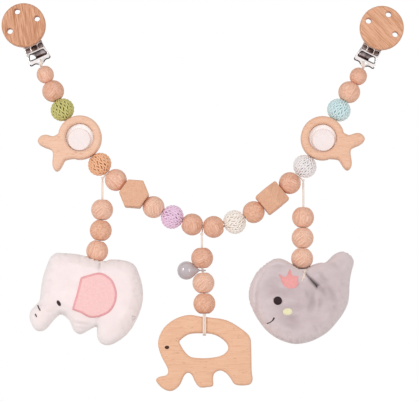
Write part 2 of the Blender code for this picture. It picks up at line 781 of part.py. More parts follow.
def cheek_outline():
    """One side of the frame's channel, drawn as depth and height, with its round ear."""
    ear = (PIVOT_DEPTH, PIVOT_HEIGHT)
    foot = SHEET / 2
    low = PIVOT_HEIGHT - 2 * EAR_RADIUS
    return [
        (0, CHANNEL_BOTTOM),
        (foot, CHANNEL_BOTTOM),
        (CHANNEL_DEPTH, CHANNEL_BOTTOM + CHANNEL_DEPTH),
        (CHANNEL_DEPTH, low),
        *arc(ear, EAR_RADIUS, *EAR_ARC_DEG, EAR_STEPS),
        (foot, frame_top() - foot),
        (0, frame_top() - foot),
    ]


def lever_outline():
    """Lever in section, as depth and height: a plate that curls round the pin."""
    pivot = (PIVOT_DEPTH, PIVOT_HEIGHT)
    inner = KNUCKLE_RADIUS - SHEET
    return [
        (PIVOT_DEPTH + inner, LEVER_BOTTOM),
        (PIVOT_DEPTH + KNUCKLE_RADIUS, LEVER_BOTTOM),
        *arc(pivot, KNUCKLE_RADIUS, 0, 180 - COMB_DEG, KNUCKLE_STEPS),
        *arc(pivot, inner, 180 - COMB_DEG, 0, KNUCKLE_STEPS),
    ]


def comb_outline():
    """Toothed edge of the jaw, drawn as width and reach from the pin's axis."""
    half = PAD_HALF_WIDTH
    root = KNUCKLE_RADIUS - SHEET / 2
    reach = PIVOT_DEPTH - SHEET / 2 - PAD_THICKNESS - 2 * GAP
    pitch = 2 * half / COMB_TEETH
    points = [(half, root), (half, reach - COMB_DEPTH)]
    for i in range(COMB_TEETH):
        points.append((half - pitch * (i + 0.5), reach))
        points.append((half - pitch * (i + 1), reach - COMB_DEPTH))
    return points + [(-half, root)]


def add_clip(model, side, bar, tilt_deg):
    """One clip: its frame, jaw pad and hinge pin stay put, and its lever lifts the disc."""
    at = move(bar) @ turn_y(tilt_deg)
    # Turns an outline of depth and height so that it stands in Y and Z, depth towards -Y
    in_section = Matrix.Rotation(math.radians(-90), 4, "Z") @ STAND
    frame = model.add(
        f"{side}_clip_frame",
        plate_mesh(f"{side}_clip_frame", [clip_outline(), *clip_holes()], SHEET),
        at @ STAND,
        "steel",
    )
    cheek = plate_mesh("clip_cheek", [cheek_outline()], SHEET)
    for sign in (1, -1):
        out = Vector((sign * (cheek_face() + SHEET / 2), 0, 0))
        guide = model.guide(f"{side}_cheek_{sign}", cheek, at @ move(out) @ in_section)
        join(frame, guide)
    pivot = at @ Vector((0, -PIVOT_DEPTH, PIVOT_HEIGHT))
    across = at @ move((0, -PIVOT_DEPTH, PIVOT_HEIGHT)) @ Matrix.Rotation(
        math.radians(90), 4, "Y"
    )
    hole = rod_mesh("pin_hole", PIN_DIAMETER / 2 + GAP, FRAME_WIDTH + OVERRUN, PIN_SIDES)
    cut(frame, model.guide(f"{side}_pin_hole", hole, across))
    pin = rod_mesh("hinge_pin", PIN_DIAMETER / 2, FRAME_WIDTH + 2 * PIN_HEAD, PIN_SIDES)
    ease(model.add(f"{side}_clip_pin", pin, across, "steel"), PIN_HEAD / 2, 1)
    add_pad(model, side, at)

    axis = model.axis(f"{side}_lever_axis", pivot)
    plate = plate_mesh(f"{side}_clip_lever", [lever_outline()], 2 * (cheek_face() - GAP))
    lever = model.add(f"{side}_clip_lever", plate, at @ in_section, "steel", axis)
    comb = plate_mesh("jaw_comb", [comb_outline()], SHEET)
    turn = Matrix.Rotation(math.radians(COMB_DEG), 4, "X")
    at_pin = at @ move((0, -PIVOT_DEPTH, PIVOT_HEIGHT))
    join(lever, model.guide(f"{side}_jaw_comb", comb, at_pin @ turn))
    add_disc(model, side, at, axis)
    return pivot


def cheek_face():
    """Distance from the middle of a clip to the inner face of each of its cheeks."""
    return FRAME_WIDTH / 2 - CHEEK_INSET - SHEET


def add_pad(model, side, at):
    size = (2 * PAD_HALF_WIDTH, PAD_THICKNESS, 2 * PAD_HALF_HEIGHT)
    front = SHEET / 2 + GAP + PAD_THICKNESS / 2
    place = move((0, -front, PIVOT_HEIGHT))
    pad = box_mesh(f"{side}_clip_pad", size)
    ease(model.add(f"{side}_clip_pad", pad, at @ place, "pad_plastic"), PAD_EDGE, 1)


def disc_profile():
    half = DISC_THICKNESS / 2
    edge = (DISC_RADIUS - DISC_EDGE, half - DISC_EDGE)
    top = arc(edge, DISC_EDGE, 90, 0, 2)
    bottom = [(x, -z) for x, z in reversed(top)]
    return [(0, half), *top, *bottom, (0, -half)]


def add_disc(model, side, at, axis):
    back = PIVOT_DEPTH + KNUCKLE_RADIUS + GAP
    centre = move((0, -(back + DISC_THICKNESS / 2), PIVOT_HEIGHT - DISC_DROP))
    mesh = profile_mesh(f"{side}_clip_disc", disc_profile(), False)
    disc = model.add(f"{side}_clip_disc", mesh, at @ centre @ STAND, "beech", axis)
    spin(disc, DISC_RIBS)
    vent = rod_mesh("disc_vent", DISC_VENT_RADIUS, DISC_THICKNESS + OVERRUN, VENT_SIDES)
    for i, (x, z) in enumerate(arc((0, 0), DISC_VENT_CIRCLE, 0, 180, 2)):
        guide = model.guide(f"{side}_vent_{i}", vent, at @ centre @ move((x, 0, z)) @ STAND)
        cut(disc, guide)


def add_pendant(model, pendant, tie, round_bead, swing):
    """A tie round the main cord, its cord and three beads, and where its toy hangs."""
    name, _, _, headings = pendant
    knot_place, route, beads = lay_out_pendant(pendant, tie)
    tie_place, heading = tie
    tie_axis = model.axis(f"{name}_tie_axis", tie_place)
    tie_axis.parent = swing
    tie_axis.matrix_parent_inverse = swing.matrix_basis.inverted()
    down = groove_direction(heading)
    start = tie_place + down * (TIE_RING_RADIUS + GAP)
    arm = [start, start.lerp(knot_place, 0.5), knot_place]
    tie_mesh = tube_mesh(f"{name}_tie", arm, TIE_DIAMETER * TIE_ARM_SHARE)
    tie_piece = model.add(
        f"{name}_tie", tie_mesh, Matrix.Identity(4), "cord_cotton", tie_axis
    )
    turns = circle(TIE_RING_RADIUS, TIE_RING_STEPS, 360 / TIE_RING_STEPS / 2)
    ring = tube_mesh("tie_ring", in_plane(turns), TIE_DIAMETER, cyclic=True)
    at = move(tie_place) @ turn_y(-heading)
    join(tie_piece, model.guide(f"{name}_tie_ring", ring, at), "MANIFOLD")
    knot = ball_mesh("knot", KNOT_DIAMETER / 2, KNOT_FACETS)
    join(tie_piece, model.guide(f"{name}_knot", knot, move(knot_place)), "MANIFOLD")

    sway = model.axis(f"{name}_sway_axis", knot_place)
    mesh = tube_mesh(f"{name}_pendant_cord", route, CORD_DIAMETER)
    model.add(f"{name}_pendant_cord", mesh, Matrix.Identity(4), "cord_cotton", sway)
    for i, (place, turn) in enumerate(zip(beads, headings)):
        bead = model.add(
            f"{name}_pendant_bead_{i + 1}",
            round_bead,
            move(place) @ turn_y(-turn),
            "beech",
            sway,
        )
        spin(bead, BEAD_RIBS)
    return sway, beads


def groove_direction(heading):
    """From the main cord out through the groove between two beads, the lower way."""
    return along(heading - 90) if along(heading - 90).z < 0 else along(heading + 90)


def lay_out_pendant(pendant, tie):
    name, _, fall, headings = pendant
    tie_place, heading = tie
    knot = tie_place + groove_direction(heading) * TIE_REACH
    start = along(0) * (KNOT_DIAMETER / 2 + GAP)
    place = knot + along(0) * fall
    steps = max(2, round((place - knot - start).length / CORD_STEP))
    route = [(knot + start).lerp(place, i / steps) for i in range(steps)]
    beads = []
    for i, turn in enumerate(headings):
        half = along(turn) * (ROUND_BEAD_LENGTH / 2)
        route.append(place.copy())
        place = place + half
        beads.append(place.copy())
        place = place + half
        route.append(place.copy())
        if i + 1 < len(headings):
            space = PENDANT_BEAD_GAP + bead_space(turn, headings[i + 1])
            if name == "middle" and i == 0:
                space = DROP_GAP
            place = place + along((turn + headings[i + 1]) / 2) * space
    if name != "middle":
        route.append(place + along(headings[-1]) * CORD_TAIL)
    return knot, route, beads


def drop_profile():
    """Half section of the rattle drop: a ball that draws in to a point, along +Z."""
    tip = DROP_EYE_RADIUS
    height = DROP_REACH - tip
    touch = math.degrees(math.asin(DROP_RADIUS / height))
    ball = arc((0, 0), DROP_RADIUS, touch, -90, DROP_STEPS)
    ball = [(max(x, 0), z) for x, z in ball]
    ball[-1] = (0, -DROP_RADIUS)
    neck = DROP_EYE_WIRE / 2
    return [(0, height), (neck, height - neck), *ball]


def add_drop(model, beads, axis):
    """The rattle drop, its eye round the cord, and the pellet inside it."""
    place = (beads[0] + beads[1]) / 2
    hub = model.axis("drop_axis", place)
    hub.parent = axis
    hub.matrix_parent_inverse = axis.matrix_basis.inverted()
    ball = place + Vector((-DROP_REACH, 0, 0))
    at = move(ball) @ Matrix.Rotation(math.radians(90), 4, "Y")
    mesh = profile_mesh("rattle_drop", drop_profile(), False)
    drop = model.add("rattle_drop", mesh, at, "grey_enamel", hub)
    spin(drop, DROP_RIBS)
    ring = in_plane(circle(DROP_EYE_RADIUS, DROP_EYE_STEPS))
    eye = tube_mesh("drop_eye", ring, DROP_EYE_WIRE, cyclic=True)
    join(drop, model.guide("drop_eye", eye, move(place)))
    hollow = ball_mesh("drop_hollow", DROP_RADIUS - DROP_WALL, DROP_HOLLOW_FACETS)
    cut(drop, model.guide("drop_hollow", hollow, move(ball)))
    depth = 2 * DROP_RADIUS
    slit = box_mesh("drop_slit", (depth, DROP_SLIT, depth - 2 * DROP_WALL))
    out = Vector((-depth + DROP_RADIUS * DROP_SLIT_DEPTH_SHARE, 0, 0))
    cut(drop, model.guide("drop_slit", slit, move(ball + out)))
    low = DROP_RADIUS - DROP_WALL - PELLET_RADIUS - PELLET_LIFT
    pellet = ball_mesh("drop_pellet", PELLET_RADIUS, PELLET_FACETS)
    model.add("drop_pellet", pellet, move(ball + Vector((0, 0, -low))), "steel", hub)


def wooden_elephant_place(beads):
    """Middle of the elephant, hung so that the loop round its rail clears the bead."""
    under = ROUND_BEAD_LENGTH / 2 + GAP + CORD_DIAMETER + GAP
    return beads[-1] + Vector((0, 0, -(under + rail_top())))


def rail_top():
    return ELEPHANT_HEIGHT * RAIL_TOP_SHARE


def rail_height():
    return rail_top() - ELEPHANT_HEIGHT * (OVAL_LIFT_SHARE + OVAL_HALF_HEIGHT_SHARE)


def oval_outline():
    """The elephant's hole, above the middle of its height."""
    width = ELEPHANT_WIDTH * OVAL_HALF_WIDTH_SHARE
    height = ELEPHANT_HEIGHT * OVAL_HALF_HEIGHT_SHARE
    lift = ELEPHANT_HEIGHT * OVAL_LIFT_SHARE
    return [(x * width, lift + y * height) for x, y in circle(1, OVAL_STEPS)]


def add_wooden_elephant(model, beads, sway):
    place = wooden_elephant_place(beads)
    toy = toy_axis(model, "middle_toy_axis", beads, sway)
    points = scaled(ELEPHANT_SHARES, ELEPHANT_WIDTH, ELEPHANT_HEIGHT)
    loops = [rounded_loop(points, ELEPHANT_CUTS), oval_outline()]
    mesh = plate_mesh("wooden_elephant", loops, ELEPHANT_THICKNESS)
    ease(model.add("wooden_elephant", mesh, move(place) @ STAND, "beech", toy), ELEPHANT_EDGE)
    reach = GAP + CORD_DIAMETER / 2
    half_depth = ELEPHANT_THICKNESS / 2 + reach
    half_height = rail_height() / 2 + reach
    bend = ELEPHANT_EDGE + reach
    corners = (
        (half_depth - bend, half_height - bend, 0),
        (bend - half_depth, half_height - bend, 90),
        (bend - half_depth, bend - half_height, 180),
        (half_depth - bend, bend - half_height, 270),
    )
    loop = []
    for y, z, start in corners:
        loop += arc((y, z), bend, start, start + 90, RAIL_LOOP_STEPS - 1)
    middle = place + Vector((0, 0, rail_top() - rail_height() / 2))
    mesh = tube_mesh(
        "rail_loop", [(0, y, z) for y, z in loop], CORD_DIAMETER, cyclic=True
    )
    mesh.transform(Matrix.Diagonal((RAIL_LOOP_WIDTH_SHARE, 1, 1, 1)))
    model.add("rail_loop", mesh, move(middle), "cord_cotton", toy)


def plush(model, name, matrix, material, size, shares, axis, larger):
    """One plush part, cut by the larger parts beside it."""
    width, depth, height = (length * PILLOW_SWELL_SHARE for length in size)
    mesh = half_pillow_mesh(name, scaled(shares, width, height), depth / 2)
    part = model.add(name, mesh, matrix, material, axis)
    puff(part)
    for other in (model.piece[other_name] for other_name in larger):
        guide = model.guide(f"{name}_by_{other.name}", other.data, other.matrix_basis)
        puff(guide)
        swell(guide, GAP)
        cut(part, guide)
    return part


def puff(obj):
    mirror = obj.modifiers.new("back_half", "MIRROR")
    mirror.use_axis = (False, True, False)
    mirror.use_clip = True
    mirror.merge_threshold = MERGE
    smooth = obj.modifiers.new("stuffed", "SUBSURF")
    smooth.levels = 1
    smooth.render_levels = 1


def seat_on_cord(model, part, beads, heading):
    """The dent under the lowest bead, and the stitched pocket that the cord ends in."""
    dent = ball_mesh("bead_dent", ROUND_BEAD_DIAMETER / 2 + GAP, DENT_FACETS)
    cut(part, model.guide(f"{part.name}_dent", dent, move(beads[-1])))
    depth = ROUND_BEAD_LENGTH / 2 + CORD_TAIL + GAP
    pocket = rod_mesh("cord_pocket", CORD_DIAMETER / 2 + GAP, depth, POCKET_SIDES)
    at = move(beads[-1]) @ turn_y(-heading) @ move((0, 0, -depth / 2))
    cut(part, model.guide(f"{part.name}_pocket", pocket, at))


def toy_axis(model, name, beads, sway):
    axis = model.axis(name, beads[-1])
    axis.parent = sway
    axis.matrix_parent_inverse = sway.matrix_basis.inverted()
    return axis


def add_plush_toy(model, side, beads, sway, heading):
    """A stuffed toy under the lowest bead, from its largest part to its smallest."""
    material, body_share, parts = PLUSH_TOYS[side]
    axis = toy_axis(model, f"{side}_toy_axis", beads, sway)
    body_width, _, body_height = parts[0][1]
    for name, size, share, shares, sinks_in, larger in parts:
        x = (body_share[0] + share[0]) * body_width
        z = (body_share[1] + share[1]) * body_height
        matrix = move(beads[-1] + Vector((x, 0, z)))
        part = plush(model, name, matrix, material, size, shares, axis, larger)
        if sinks_in:
            seat_on_cord(model, part, beads, heading)


def main():
    clear_scene()
    make_materials()
    model = Model()
    bar, far_bar, route, places, ties = lay_out_string()
    add_clip(model, "left", bar, LEFT_CLIP_TILT_DEG)
    add_clip(model, "right", far_bar, RIGHT_CLIP_TILT_DEG)
    swing = model.axis("string_swing_axis", bar)
    round_bead = add_string_pieces(model, places, swing)
    add_main_cord(model, bar, far_bar, route, swing)
    for pendant in PENDANTS:
        side, after, _, headings = pendant
        sway, beads = add_pendant(model, pendant, ties[after], round_bead, swing)
        if side in PLUSH_TOYS:
            add_plush_toy(model, side, beads, sway, headings[-1])
        else:
            add_drop(model, beads, sway)
            add_wooden_elephant(model, beads, sway)


main()
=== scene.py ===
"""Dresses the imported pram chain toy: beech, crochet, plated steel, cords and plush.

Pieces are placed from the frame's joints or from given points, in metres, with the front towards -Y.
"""

import json
import logging
import math
import random
from dataclasses import dataclass
from enum import Enum
from typing import Any, Iterable, Sequence

import bmesh
import bpy
import numpy as np
from mathutils import Matrix, Vector, noise
from mathutils.bvhtree import BVHTree
from mathutils.geometry import delaunay_2d_cdt


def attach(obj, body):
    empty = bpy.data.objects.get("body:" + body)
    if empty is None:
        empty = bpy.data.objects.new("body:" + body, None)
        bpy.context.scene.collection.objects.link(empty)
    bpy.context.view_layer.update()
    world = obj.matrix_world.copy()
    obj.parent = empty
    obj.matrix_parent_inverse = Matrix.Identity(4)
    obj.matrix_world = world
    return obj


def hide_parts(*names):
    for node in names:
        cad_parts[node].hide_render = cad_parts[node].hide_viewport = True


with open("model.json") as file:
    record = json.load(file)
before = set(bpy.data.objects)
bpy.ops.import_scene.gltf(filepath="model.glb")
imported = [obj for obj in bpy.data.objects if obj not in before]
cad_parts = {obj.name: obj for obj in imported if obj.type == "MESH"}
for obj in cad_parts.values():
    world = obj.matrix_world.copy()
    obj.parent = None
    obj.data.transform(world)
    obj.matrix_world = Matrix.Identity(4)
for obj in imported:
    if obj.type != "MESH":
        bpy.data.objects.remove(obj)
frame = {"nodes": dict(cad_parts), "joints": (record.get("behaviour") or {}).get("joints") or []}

LOG = logging.getLogger("pram_chain_toy")
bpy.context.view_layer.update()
JOINTS = {joint["name"]: joint for joint in frame["joints"]}
MM = 0.001
STAND = Matrix.Rotation(math.radians(90), 4, "X")
Flat = Sequence[tuple[float, float]]
Socket = bpy.types.NodeSocket
PLIES = 3
CLOTH = {
    "quality": 5,
    "mass": 0.3,
    "tension_stiffness": 10,
    "compression_stiffness": 10,
    "shear_stiffness": 3,
    "bending_stiffness": 0.3,
    "use_pressure": True,
    "uniform_pressure_force": 4,
    "vertex_group_mass": "seam",
}


def linear(code: str) -> tuple[float, float, float, float]:
    """Turns an sRGB hex code into a linear colour.

    Args:
        code: six hex digits after a hash sign.

    Returns:
        The linear colour, opaque.
    """
    shares = [int(code[i : i + 2], 16) / 255 for i in (1, 3, 5)]
    red, green, blue = (s / 12.92 if s <= 0.04045 else ((s + 0.055) / 1.055) ** 2.4 for s in shares)
    return red, green, blue, 1.0


def feed(node: bpy.types.Node, inputs: dict) -> None:
    """Gives a node's inputs their values, or links them to the sockets that feed them."""
    for key, value in inputs.items():
        if isinstance(value, Socket):
            node.id_data.links.new(value, node.inputs[key])
        else:
            node.inputs[key].default_value = value


def add_node(
    tree: bpy.types.NodeTree, kind: str, inputs: dict | None = None, **settings: Any
) -> bpy.types.Node:
    """Adds a node with its settings and links.

    Args:
        tree: node tree that it goes into.
        kind: Blender's name of the node.
        inputs: input name or number, with the value or the output socket it takes.
        settings: the node's own options.

    Returns:
        The node.
    """
    node = tree.nodes.new(kind)
    for name, value in settings.items():
        setattr(node, name, value)
    feed(node, inputs or {})
    return node


class Painter:
    """Builds one material's nodes, each step giving the socket that the next one takes."""

    def __init__(self, material: bpy.types.Material) -> None:
        """Starts from Blender's own shader."""
        material.use_nodes = True
        self.tree = material.node_tree

    def noise(
        self,
        size_mm: float | Sequence[float],
        turn: Sequence[float] = (0, 0, 0),
        offset: float = 0.0,
        detail: float = 2.0,
    ) -> Socket:
        """Noise whose features have the given size along each of the piece's own axes.

        Args:
            size_mm: width of a feature, or its widths along X, Y and Z.
            turn: rotation of the pattern.
            offset: shift of the pattern along all three axes, in centimetres.
            detail: how many finer layers it holds.

        Returns:
            The noise's socket, about 0.5 on average.
        """
        sizes = (size_mm,) * 3 if isinstance(size_mm, (int, float)) else size_mm
        place = {
            "Vector": add_node(self.tree, "ShaderNodeTexCoord").outputs["Object"],
            "Rotation": turn,
            "Location": (offset * 10 * MM,) * 3,
            "Scale": tuple(s * MM for s in sizes),
        }
        scaled = add_node(self.tree, "ShaderNodeMapping", place, vector_type="TEXTURE").outputs[0]
        inputs = {"Vector": scaled, "Scale": 1.0, "Detail": detail}
        return add_node(self.tree, "ShaderNodeTexNoise", inputs).outputs["Fac"]

    def spread(
        self, value: Socket, low: float = 0.0, high: float = 1.0, start: float = 0.0, end: float = 1.0
    ) -> Socket:
        """The value's span from low to high, stretched to run from start to end."""
        span = {"Value": value, "From Min": low, "From Max": high, "To Min": start, "To Max": end}
        return add_node(self.tree, "ShaderNodeMapRange", span).outputs[0]

    def maths(self, operation: str, *values: float | Socket, clamp: bool = False) -> Socket:
        """The result of an operation on values and sockets."""
        settings = {"operation": operation, "use_clamp": clamp}
        return add_node(self.tree, "ShaderNodeMath", dict(enumerate(values)), **settings).outputs[0]

    def mix(self, share: Socket, low: str | tuple | Socket, high: str | tuple | Socket) -> Socket:
        """A colour between two, each a hex code, a linear colour or a socket."""
        ends = [linear(colour) if isinstance(colour, str) else colour for colour in (low, high)]
        return add_node(
            self.tree, "ShaderNodeMix", {0: share, 6: ends[0], 7: ends[1]}, data_type="RGBA"
        ).outputs[2]

    def stored(self, name: str) -> Socket:
        """A share that each point of the mesh holds."""
        return add_node(self.tree, "ShaderNodeAttribute", attribute_name=name).outputs["Fac"]

    def coat(self, colour: Socket, relief: Socket, depth_mm: float, inputs: dict) -> None:
        """Feeds the shader.

        Args:
            colour: the surface's colour.
            relief: pattern that stands out as bumps.
            depth_mm: height of those bumps.
            inputs: the shader's other inputs.
        """
        heights = {"Height": relief, "Distance": depth_mm * MM, "Strength": 1.0}
        bumps = add_node(self.tree, "ShaderNodeBump", heights).outputs[0]
        shader = self.tree.nodes["Principled BSDF"]
        feed(shader, {"Base Color": colour, "Normal": bumps, **inputs})


@dataclass(frozen=True)
class Finish:
    """A real material, named for how its surface was made."""

    name: str
    slot: str

    def build(self) -> bpy.types.Material:
        """Makes the material of this finish."""
        material = bpy.data.materials.new(self.name)
        self.paint(Painter(material))
        return material

    def paint(self, art: Painter) -> None:
        """Builds what feeds the shader."""
        raise NotImplementedError


@dataclass(frozen=True)
class WaxedBeech(Finish):
    """Steamed beech, turned or sawn, sanded and waxed: pinkish tan, straight fine grain,
    short darker ray flecks, and a soft satin surface."""

    pale: str
    deep: str
    fleck: str = "#c08660"
    turn: tuple[float, float, float] = (0.0, 0.0, 0.0)
    offset: float = 0.0
    band_mm: float = 2.6
    grain: float = 1.0

    def paint(self, art: Painter) -> None:
        """Growth bands, grain lines 0.7 mm wide and ray flecks of 0.5 by 3 mm."""
        bands = art.noise((self.band_mm, self.band_mm, 38), self.turn, self.offset)
        lines = art.noise((0.7, 0.7, 11), self.turn, self.offset + 7)
        flecks = art.noise((0.5, 0.9, 3), self.turn, self.offset + 3)
        fine = art.spread(lines, 0.36, 0.64, 0.0, 0.5 * self.grain)
        dark = art.maths("MULTIPLY_ADD", art.spread(bands, 0.36, 0.64), fine, fine, clamp=True)
        wood = art.mix(dark, self.pale, self.deep)
        colour = art.mix(art.spread(flecks, 0.62, 0.72, 0.0, 0.55), wood, self.fleck)
        rough = art.spread(lines, start=0.46, end=0.66)
        art.coat(colour, lines, 0.04 * self.grain, {"Roughness": rough, "IOR": 1.45})


@dataclass(frozen=True)
class BurnedBeech(Finish):
    """Beech scorched with a hot punch: a matt dark brown dot with a lighter rim."""

    def paint(self, art: Painter) -> None:
        """Char 0.5 mm in grain."""
        char = art.noise(0.5)
        art.coat(art.mix(char, "#24100a", "#4a2818"), char, 0.1, {"Roughness": 0.8})


@dataclass(frozen=True)
class NickelledSteel(Finish):
    """Spring steel, pressed and nickel plated, with a painted reflection: painted bright where it faces
    front, and in warm dark bands along every bent edge, where polished sheet would mirror a dark room."""

    bright: str = "#efe8e7"
    dark: str = "#3a2c2e"
    roughness: float = 0.2
    # painted shade: how far the whole sheet is painted darker
    shadow: float = 0.0

    def paint(self, art: Painter) -> None:
        """Painted reflection: dark where the sheet turns from the front and in soft patches 5 mm wide; the
        same noise raises soft hollows 5 mm wide in the bump.
        """
        dents_and_painted_reflection = art.noise(5, offset=4)
        lines = art.noise((8, 8, 0.5), offset=5)
        # painted reflection: bright on faces turned to the front, dark on faces turned aside
        facing = add_node(art.tree, "ShaderNodeTexCoord").outputs["Normal"]
        depth = add_node(art.tree, "ShaderNodeSeparateXYZ", {0: facing}).outputs["Y"]
        front = art.maths("MULTIPLY_ADD", depth, 0.15, art.maths("ABSOLUTE", depth))
        painted_reflection_waves = art.maths("MULTIPLY_ADD", dents_and_painted_reflection, 1.1, -0.35 - self.shadow)
        lit = art.spread(art.maths("ADD", front, painted_reflection_waves), 0.55, 1.0)
        rough = art.spread(lines, start=self.roughness - 0.04, end=self.roughness + 0.08)
        colour = art.mix(lit, self.dark, self.bright)
        art.coat(colour, dents_and_painted_reflection, 0.2, {"Roughness": rough, "Metallic": 1.0})


@dataclass(frozen=True)
class CottonYarn(Finish):
    """Mercerised cotton, twisted: matt thread with fine plies and a faint fibre halo."""

    colour: str = "#fff4eb"
    shade: str = "#efddcd"
    ply_mm: float = 0.5

    def paint(self, art: Painter) -> None:
        """Plies, drawn 0.5 mm wide where real ones are 0.3 mm, which would not show."""
        plies = art.noise(self.ply_mm)
        colour = art.mix(art.spread(plies, 0.35, 0.65), self.shade, self.colour)
        halo = {"Roughness": 0.9, "Sheen Weight": 0.15, "Sheen Roughness": 0.5}
        art.coat(colour, plies, 0.12, halo)


@dataclass(frozen=True)
class SatinThread(Finish):
    """Rayon embroidery thread, laid side by side: smooth colour with a silky gleam."""

    colour: str
    roughness: float = 0.42

    def paint(self, art: Painter) -> None:
        """Tone that drifts every 1.5 mm as the thread takes the light."""
        drift = art.noise(1.5)
        red, green, blue, _ = linear(self.colour)
        dark = (red * 0.8, green * 0.8, blue * 0.8, 1.0)
        art.coat(art.mix(drift, dark, self.colour), drift, 0.05, {"Roughness": self.roughness})


@dataclass(frozen=True)
class Velour(Finish):
    """Knitted polyester velour, short brushed pile: soft shading, pale at grazing angles, with a painted
    sheen near the seam and painted shade in folds.
    """

    colour: str = "#fff2f2"
    shade: str = "#f9eaea"
    # painted sheen: the colour the cloth is painted towards by the seam
    rim: str = "#fff7f7"
    # painted shade: the colour the cloth is painted towards in folds and under the bead
    depth: str = "#d3c3c1"

    def paint(self, art: Painter) -> None:
        """Pile, drawn 0.6 mm where real pile is 0.15 mm, brushed patches of 14 mm, a painted sheen that
        lightens the cloth near the seam, and the painted shade that darkens it in a fold."""
        pile = art.noise(0.6, detail=3.0)
        patches = art.noise((14, 14, 9), detail=4.0)
        cloth = art.mix(art.spread(patches, 0.3, 0.7), self.shade, self.colour)
        # painted sheen: lighter towards the seam
        cloth_with_painted_sheen = art.mix(art.stored("painted_sheen_near_seam"), cloth, self.rim)
        # painted shade: darker in folds and where the bead presses
        colour = art.mix(art.stored("fold"), cloth_with_painted_sheen, self.depth)
        soft = {"Roughness": 0.95, "Sheen Weight": 0.35, "Sheen Roughness": 0.6}
        art.coat(colour, pile, 0.14, soft)


@dataclass(frozen=True)
class WoolFelt(Finish):
    """Pressed felt, cut and sewn down: flat soft colour with matted fibres."""

    colour: str = "#fed5d4"
    shade: str = "#f9c6c6"

    def paint(self, art: Painter) -> None:
        """Fibre clumps of 0.8 mm."""
        fibres = art.noise(0.8, detail=4.0)
        colour = art.mix(art.spread(fibres, 0.3, 0.7), self.shade, self.colour)
        art.coat(colour, fibres, 0.12, {"Roughness": 0.95, "Sheen Weight": 0.2})


@dataclass(frozen=True)
class MouldedPlastic(Finish):
    """ABS, injection moulded: even colour, a soft sheen and a faint grain from the mould."""

    colour: str = "#fbf1f0"
    shade: str = "#f3e7e6"
    roughness: float = 0.36

    def paint(self, art: Painter) -> None:
        """Mould grain 0.5 mm, and a pearly drift of tone over 6 mm."""
        grain = art.noise(0.5, offset=3)
        rough = art.spread(grain, start=self.roughness - 0.06, end=self.roughness + 0.1)
        colour = art.mix(art.noise(6), self.shade, self.colour)
        art.coat(colour, grain, 0.02, {"Roughness": rough, "IOR": 1.53})


@dataclass(frozen=True)
class StovedEnamel(Finish):
    """Stoved enamel over spun brass: deep glossy grey with a clear coat's highlights."""

    colour: str = "#c9bfc3"
    shade: str = "#bab0b5"

    def paint(self, art: Painter) -> None:
        """Runs of thicker enamel 5 mm wide, orange peel of 0.9 mm."""
        colour = art.mix(art.noise(5), self.shade, self.colour)
        gloss = {"Roughness": 0.22, "Coat Weight": 0.8, "Coat Roughness": 0.06}
        art.coat(colour, art.noise(0.9, offset=2), 0.02, gloss)


# Boards that the turned beads were cut from: two tones, and the direction of the grain
BOARDS = tuple(
    WaxedBeech(f"waxed_beech_{i}", "beech", pale, deep, turn=turn, offset=5.0 * i, grain=1.15)
    for i, (pale, deep, turn) in enumerate(
        (
            ("#f8ccb4", "#dda488", (0.2, 0.1, 0.0)),
            ("#f4c4a9", "#d89d7e", (1.2, 0.3, 0.4)),
            ("#fad3bd", "#e2ad92", (0.9, 0.2, 1.1)),
            ("#f2c2aa", "#d59a7c", (0.5, 1.2, 0.2)),
        )
    )
)
BOARD_OF = {"bead_10_round": 3, "right_pendant_bead_2": 2}
HEXAGON_BEECH = WaxedBeech(
    "waxed_beech_hexagon", "beech", "#e9b899", "#d9a285", turn=(0.9, 0.4, 0.2), offset=41.0, grain=0.8
)
DISC_BEECH = {
    side: WaxedBeech(
        f"waxed_beech_{side}_disc", "beech", pale, deep, "#a86c48",
        (math.radians(90), 0.0, math.radians(turn_deg)), offset, band_mm, 1.25,
    )
    for side, pale, deep, turn_deg, offset, band_mm in (
        ("left", "#e6b08f", "#b97b56", -17.0, 31.0, 3.6),
        ("right", "#ecb796", "#cc936f", 72.0, 36.0, 2.4),
    )
}
PLATE_BEECH = {
    name: WaxedBeech(
        f"waxed_beech_{name}", "beech", pale, deep,
        turn=(0.0, math.radians(90 - lean_deg), 0.0), offset=offset, grain=0.7,
    )
    for name, pale, deep, lean_deg, offset in (
        ("elephant", "#f1c3a3", "#e4ae8b", 2.0, 17.0),
        ("whale_ring_left", "#f3cab0", "#e8b89b", 4.0, 21.0),
        ("whale_ring_right", "#f1c4a8", "#e5b294", -3.0, 26.0),
    )
}
SCORCH = BurnedBeech("burned_beech", "beech")
STEEL = NickelledSteel("nickelled_steel_pressed", "steel")
# painted shade: the leaf behind the window is a darker copy of the plated steel, for the shade it lies in
SHADED_STEEL = NickelledSteel("nickelled_steel_inner_leaf_painted_shade", "steel", "#b9adae", shadow=0.3)
# painted shade: the rolled hems are a dark copy of the plated steel, drawing the dark line of shade and
# reflection along each edge
PAINTED_SHADE_HEM_STEEL = NickelledSteel("nickelled_steel_rolled_hem_painted_shade", "steel", "#77696b", "#352729", 0.3, 0.3)
PAD = MouldedPlastic("moulded_pad", "pad_plastic", "#e9e6e2", "#ddd9d4", 0.5)
CORD = CottonYarn("twisted_cotton_cord", "cord_cotton")
PEARL = MouldedPlastic("moulded_pearl_insert", "pearl_insert")
# painted light: the seat is a lighter copy of the insert's plastic, for the light on its rim
PAINTED_LIGHT_PEARL_SEAT = MouldedPlastic("moulded_pearl_seat_painted_light", "pearl_insert", "#ffffff", "#fbf6f8")
ENAMEL = StovedEnamel("stoved_grey_enamel", "grey_enamel")
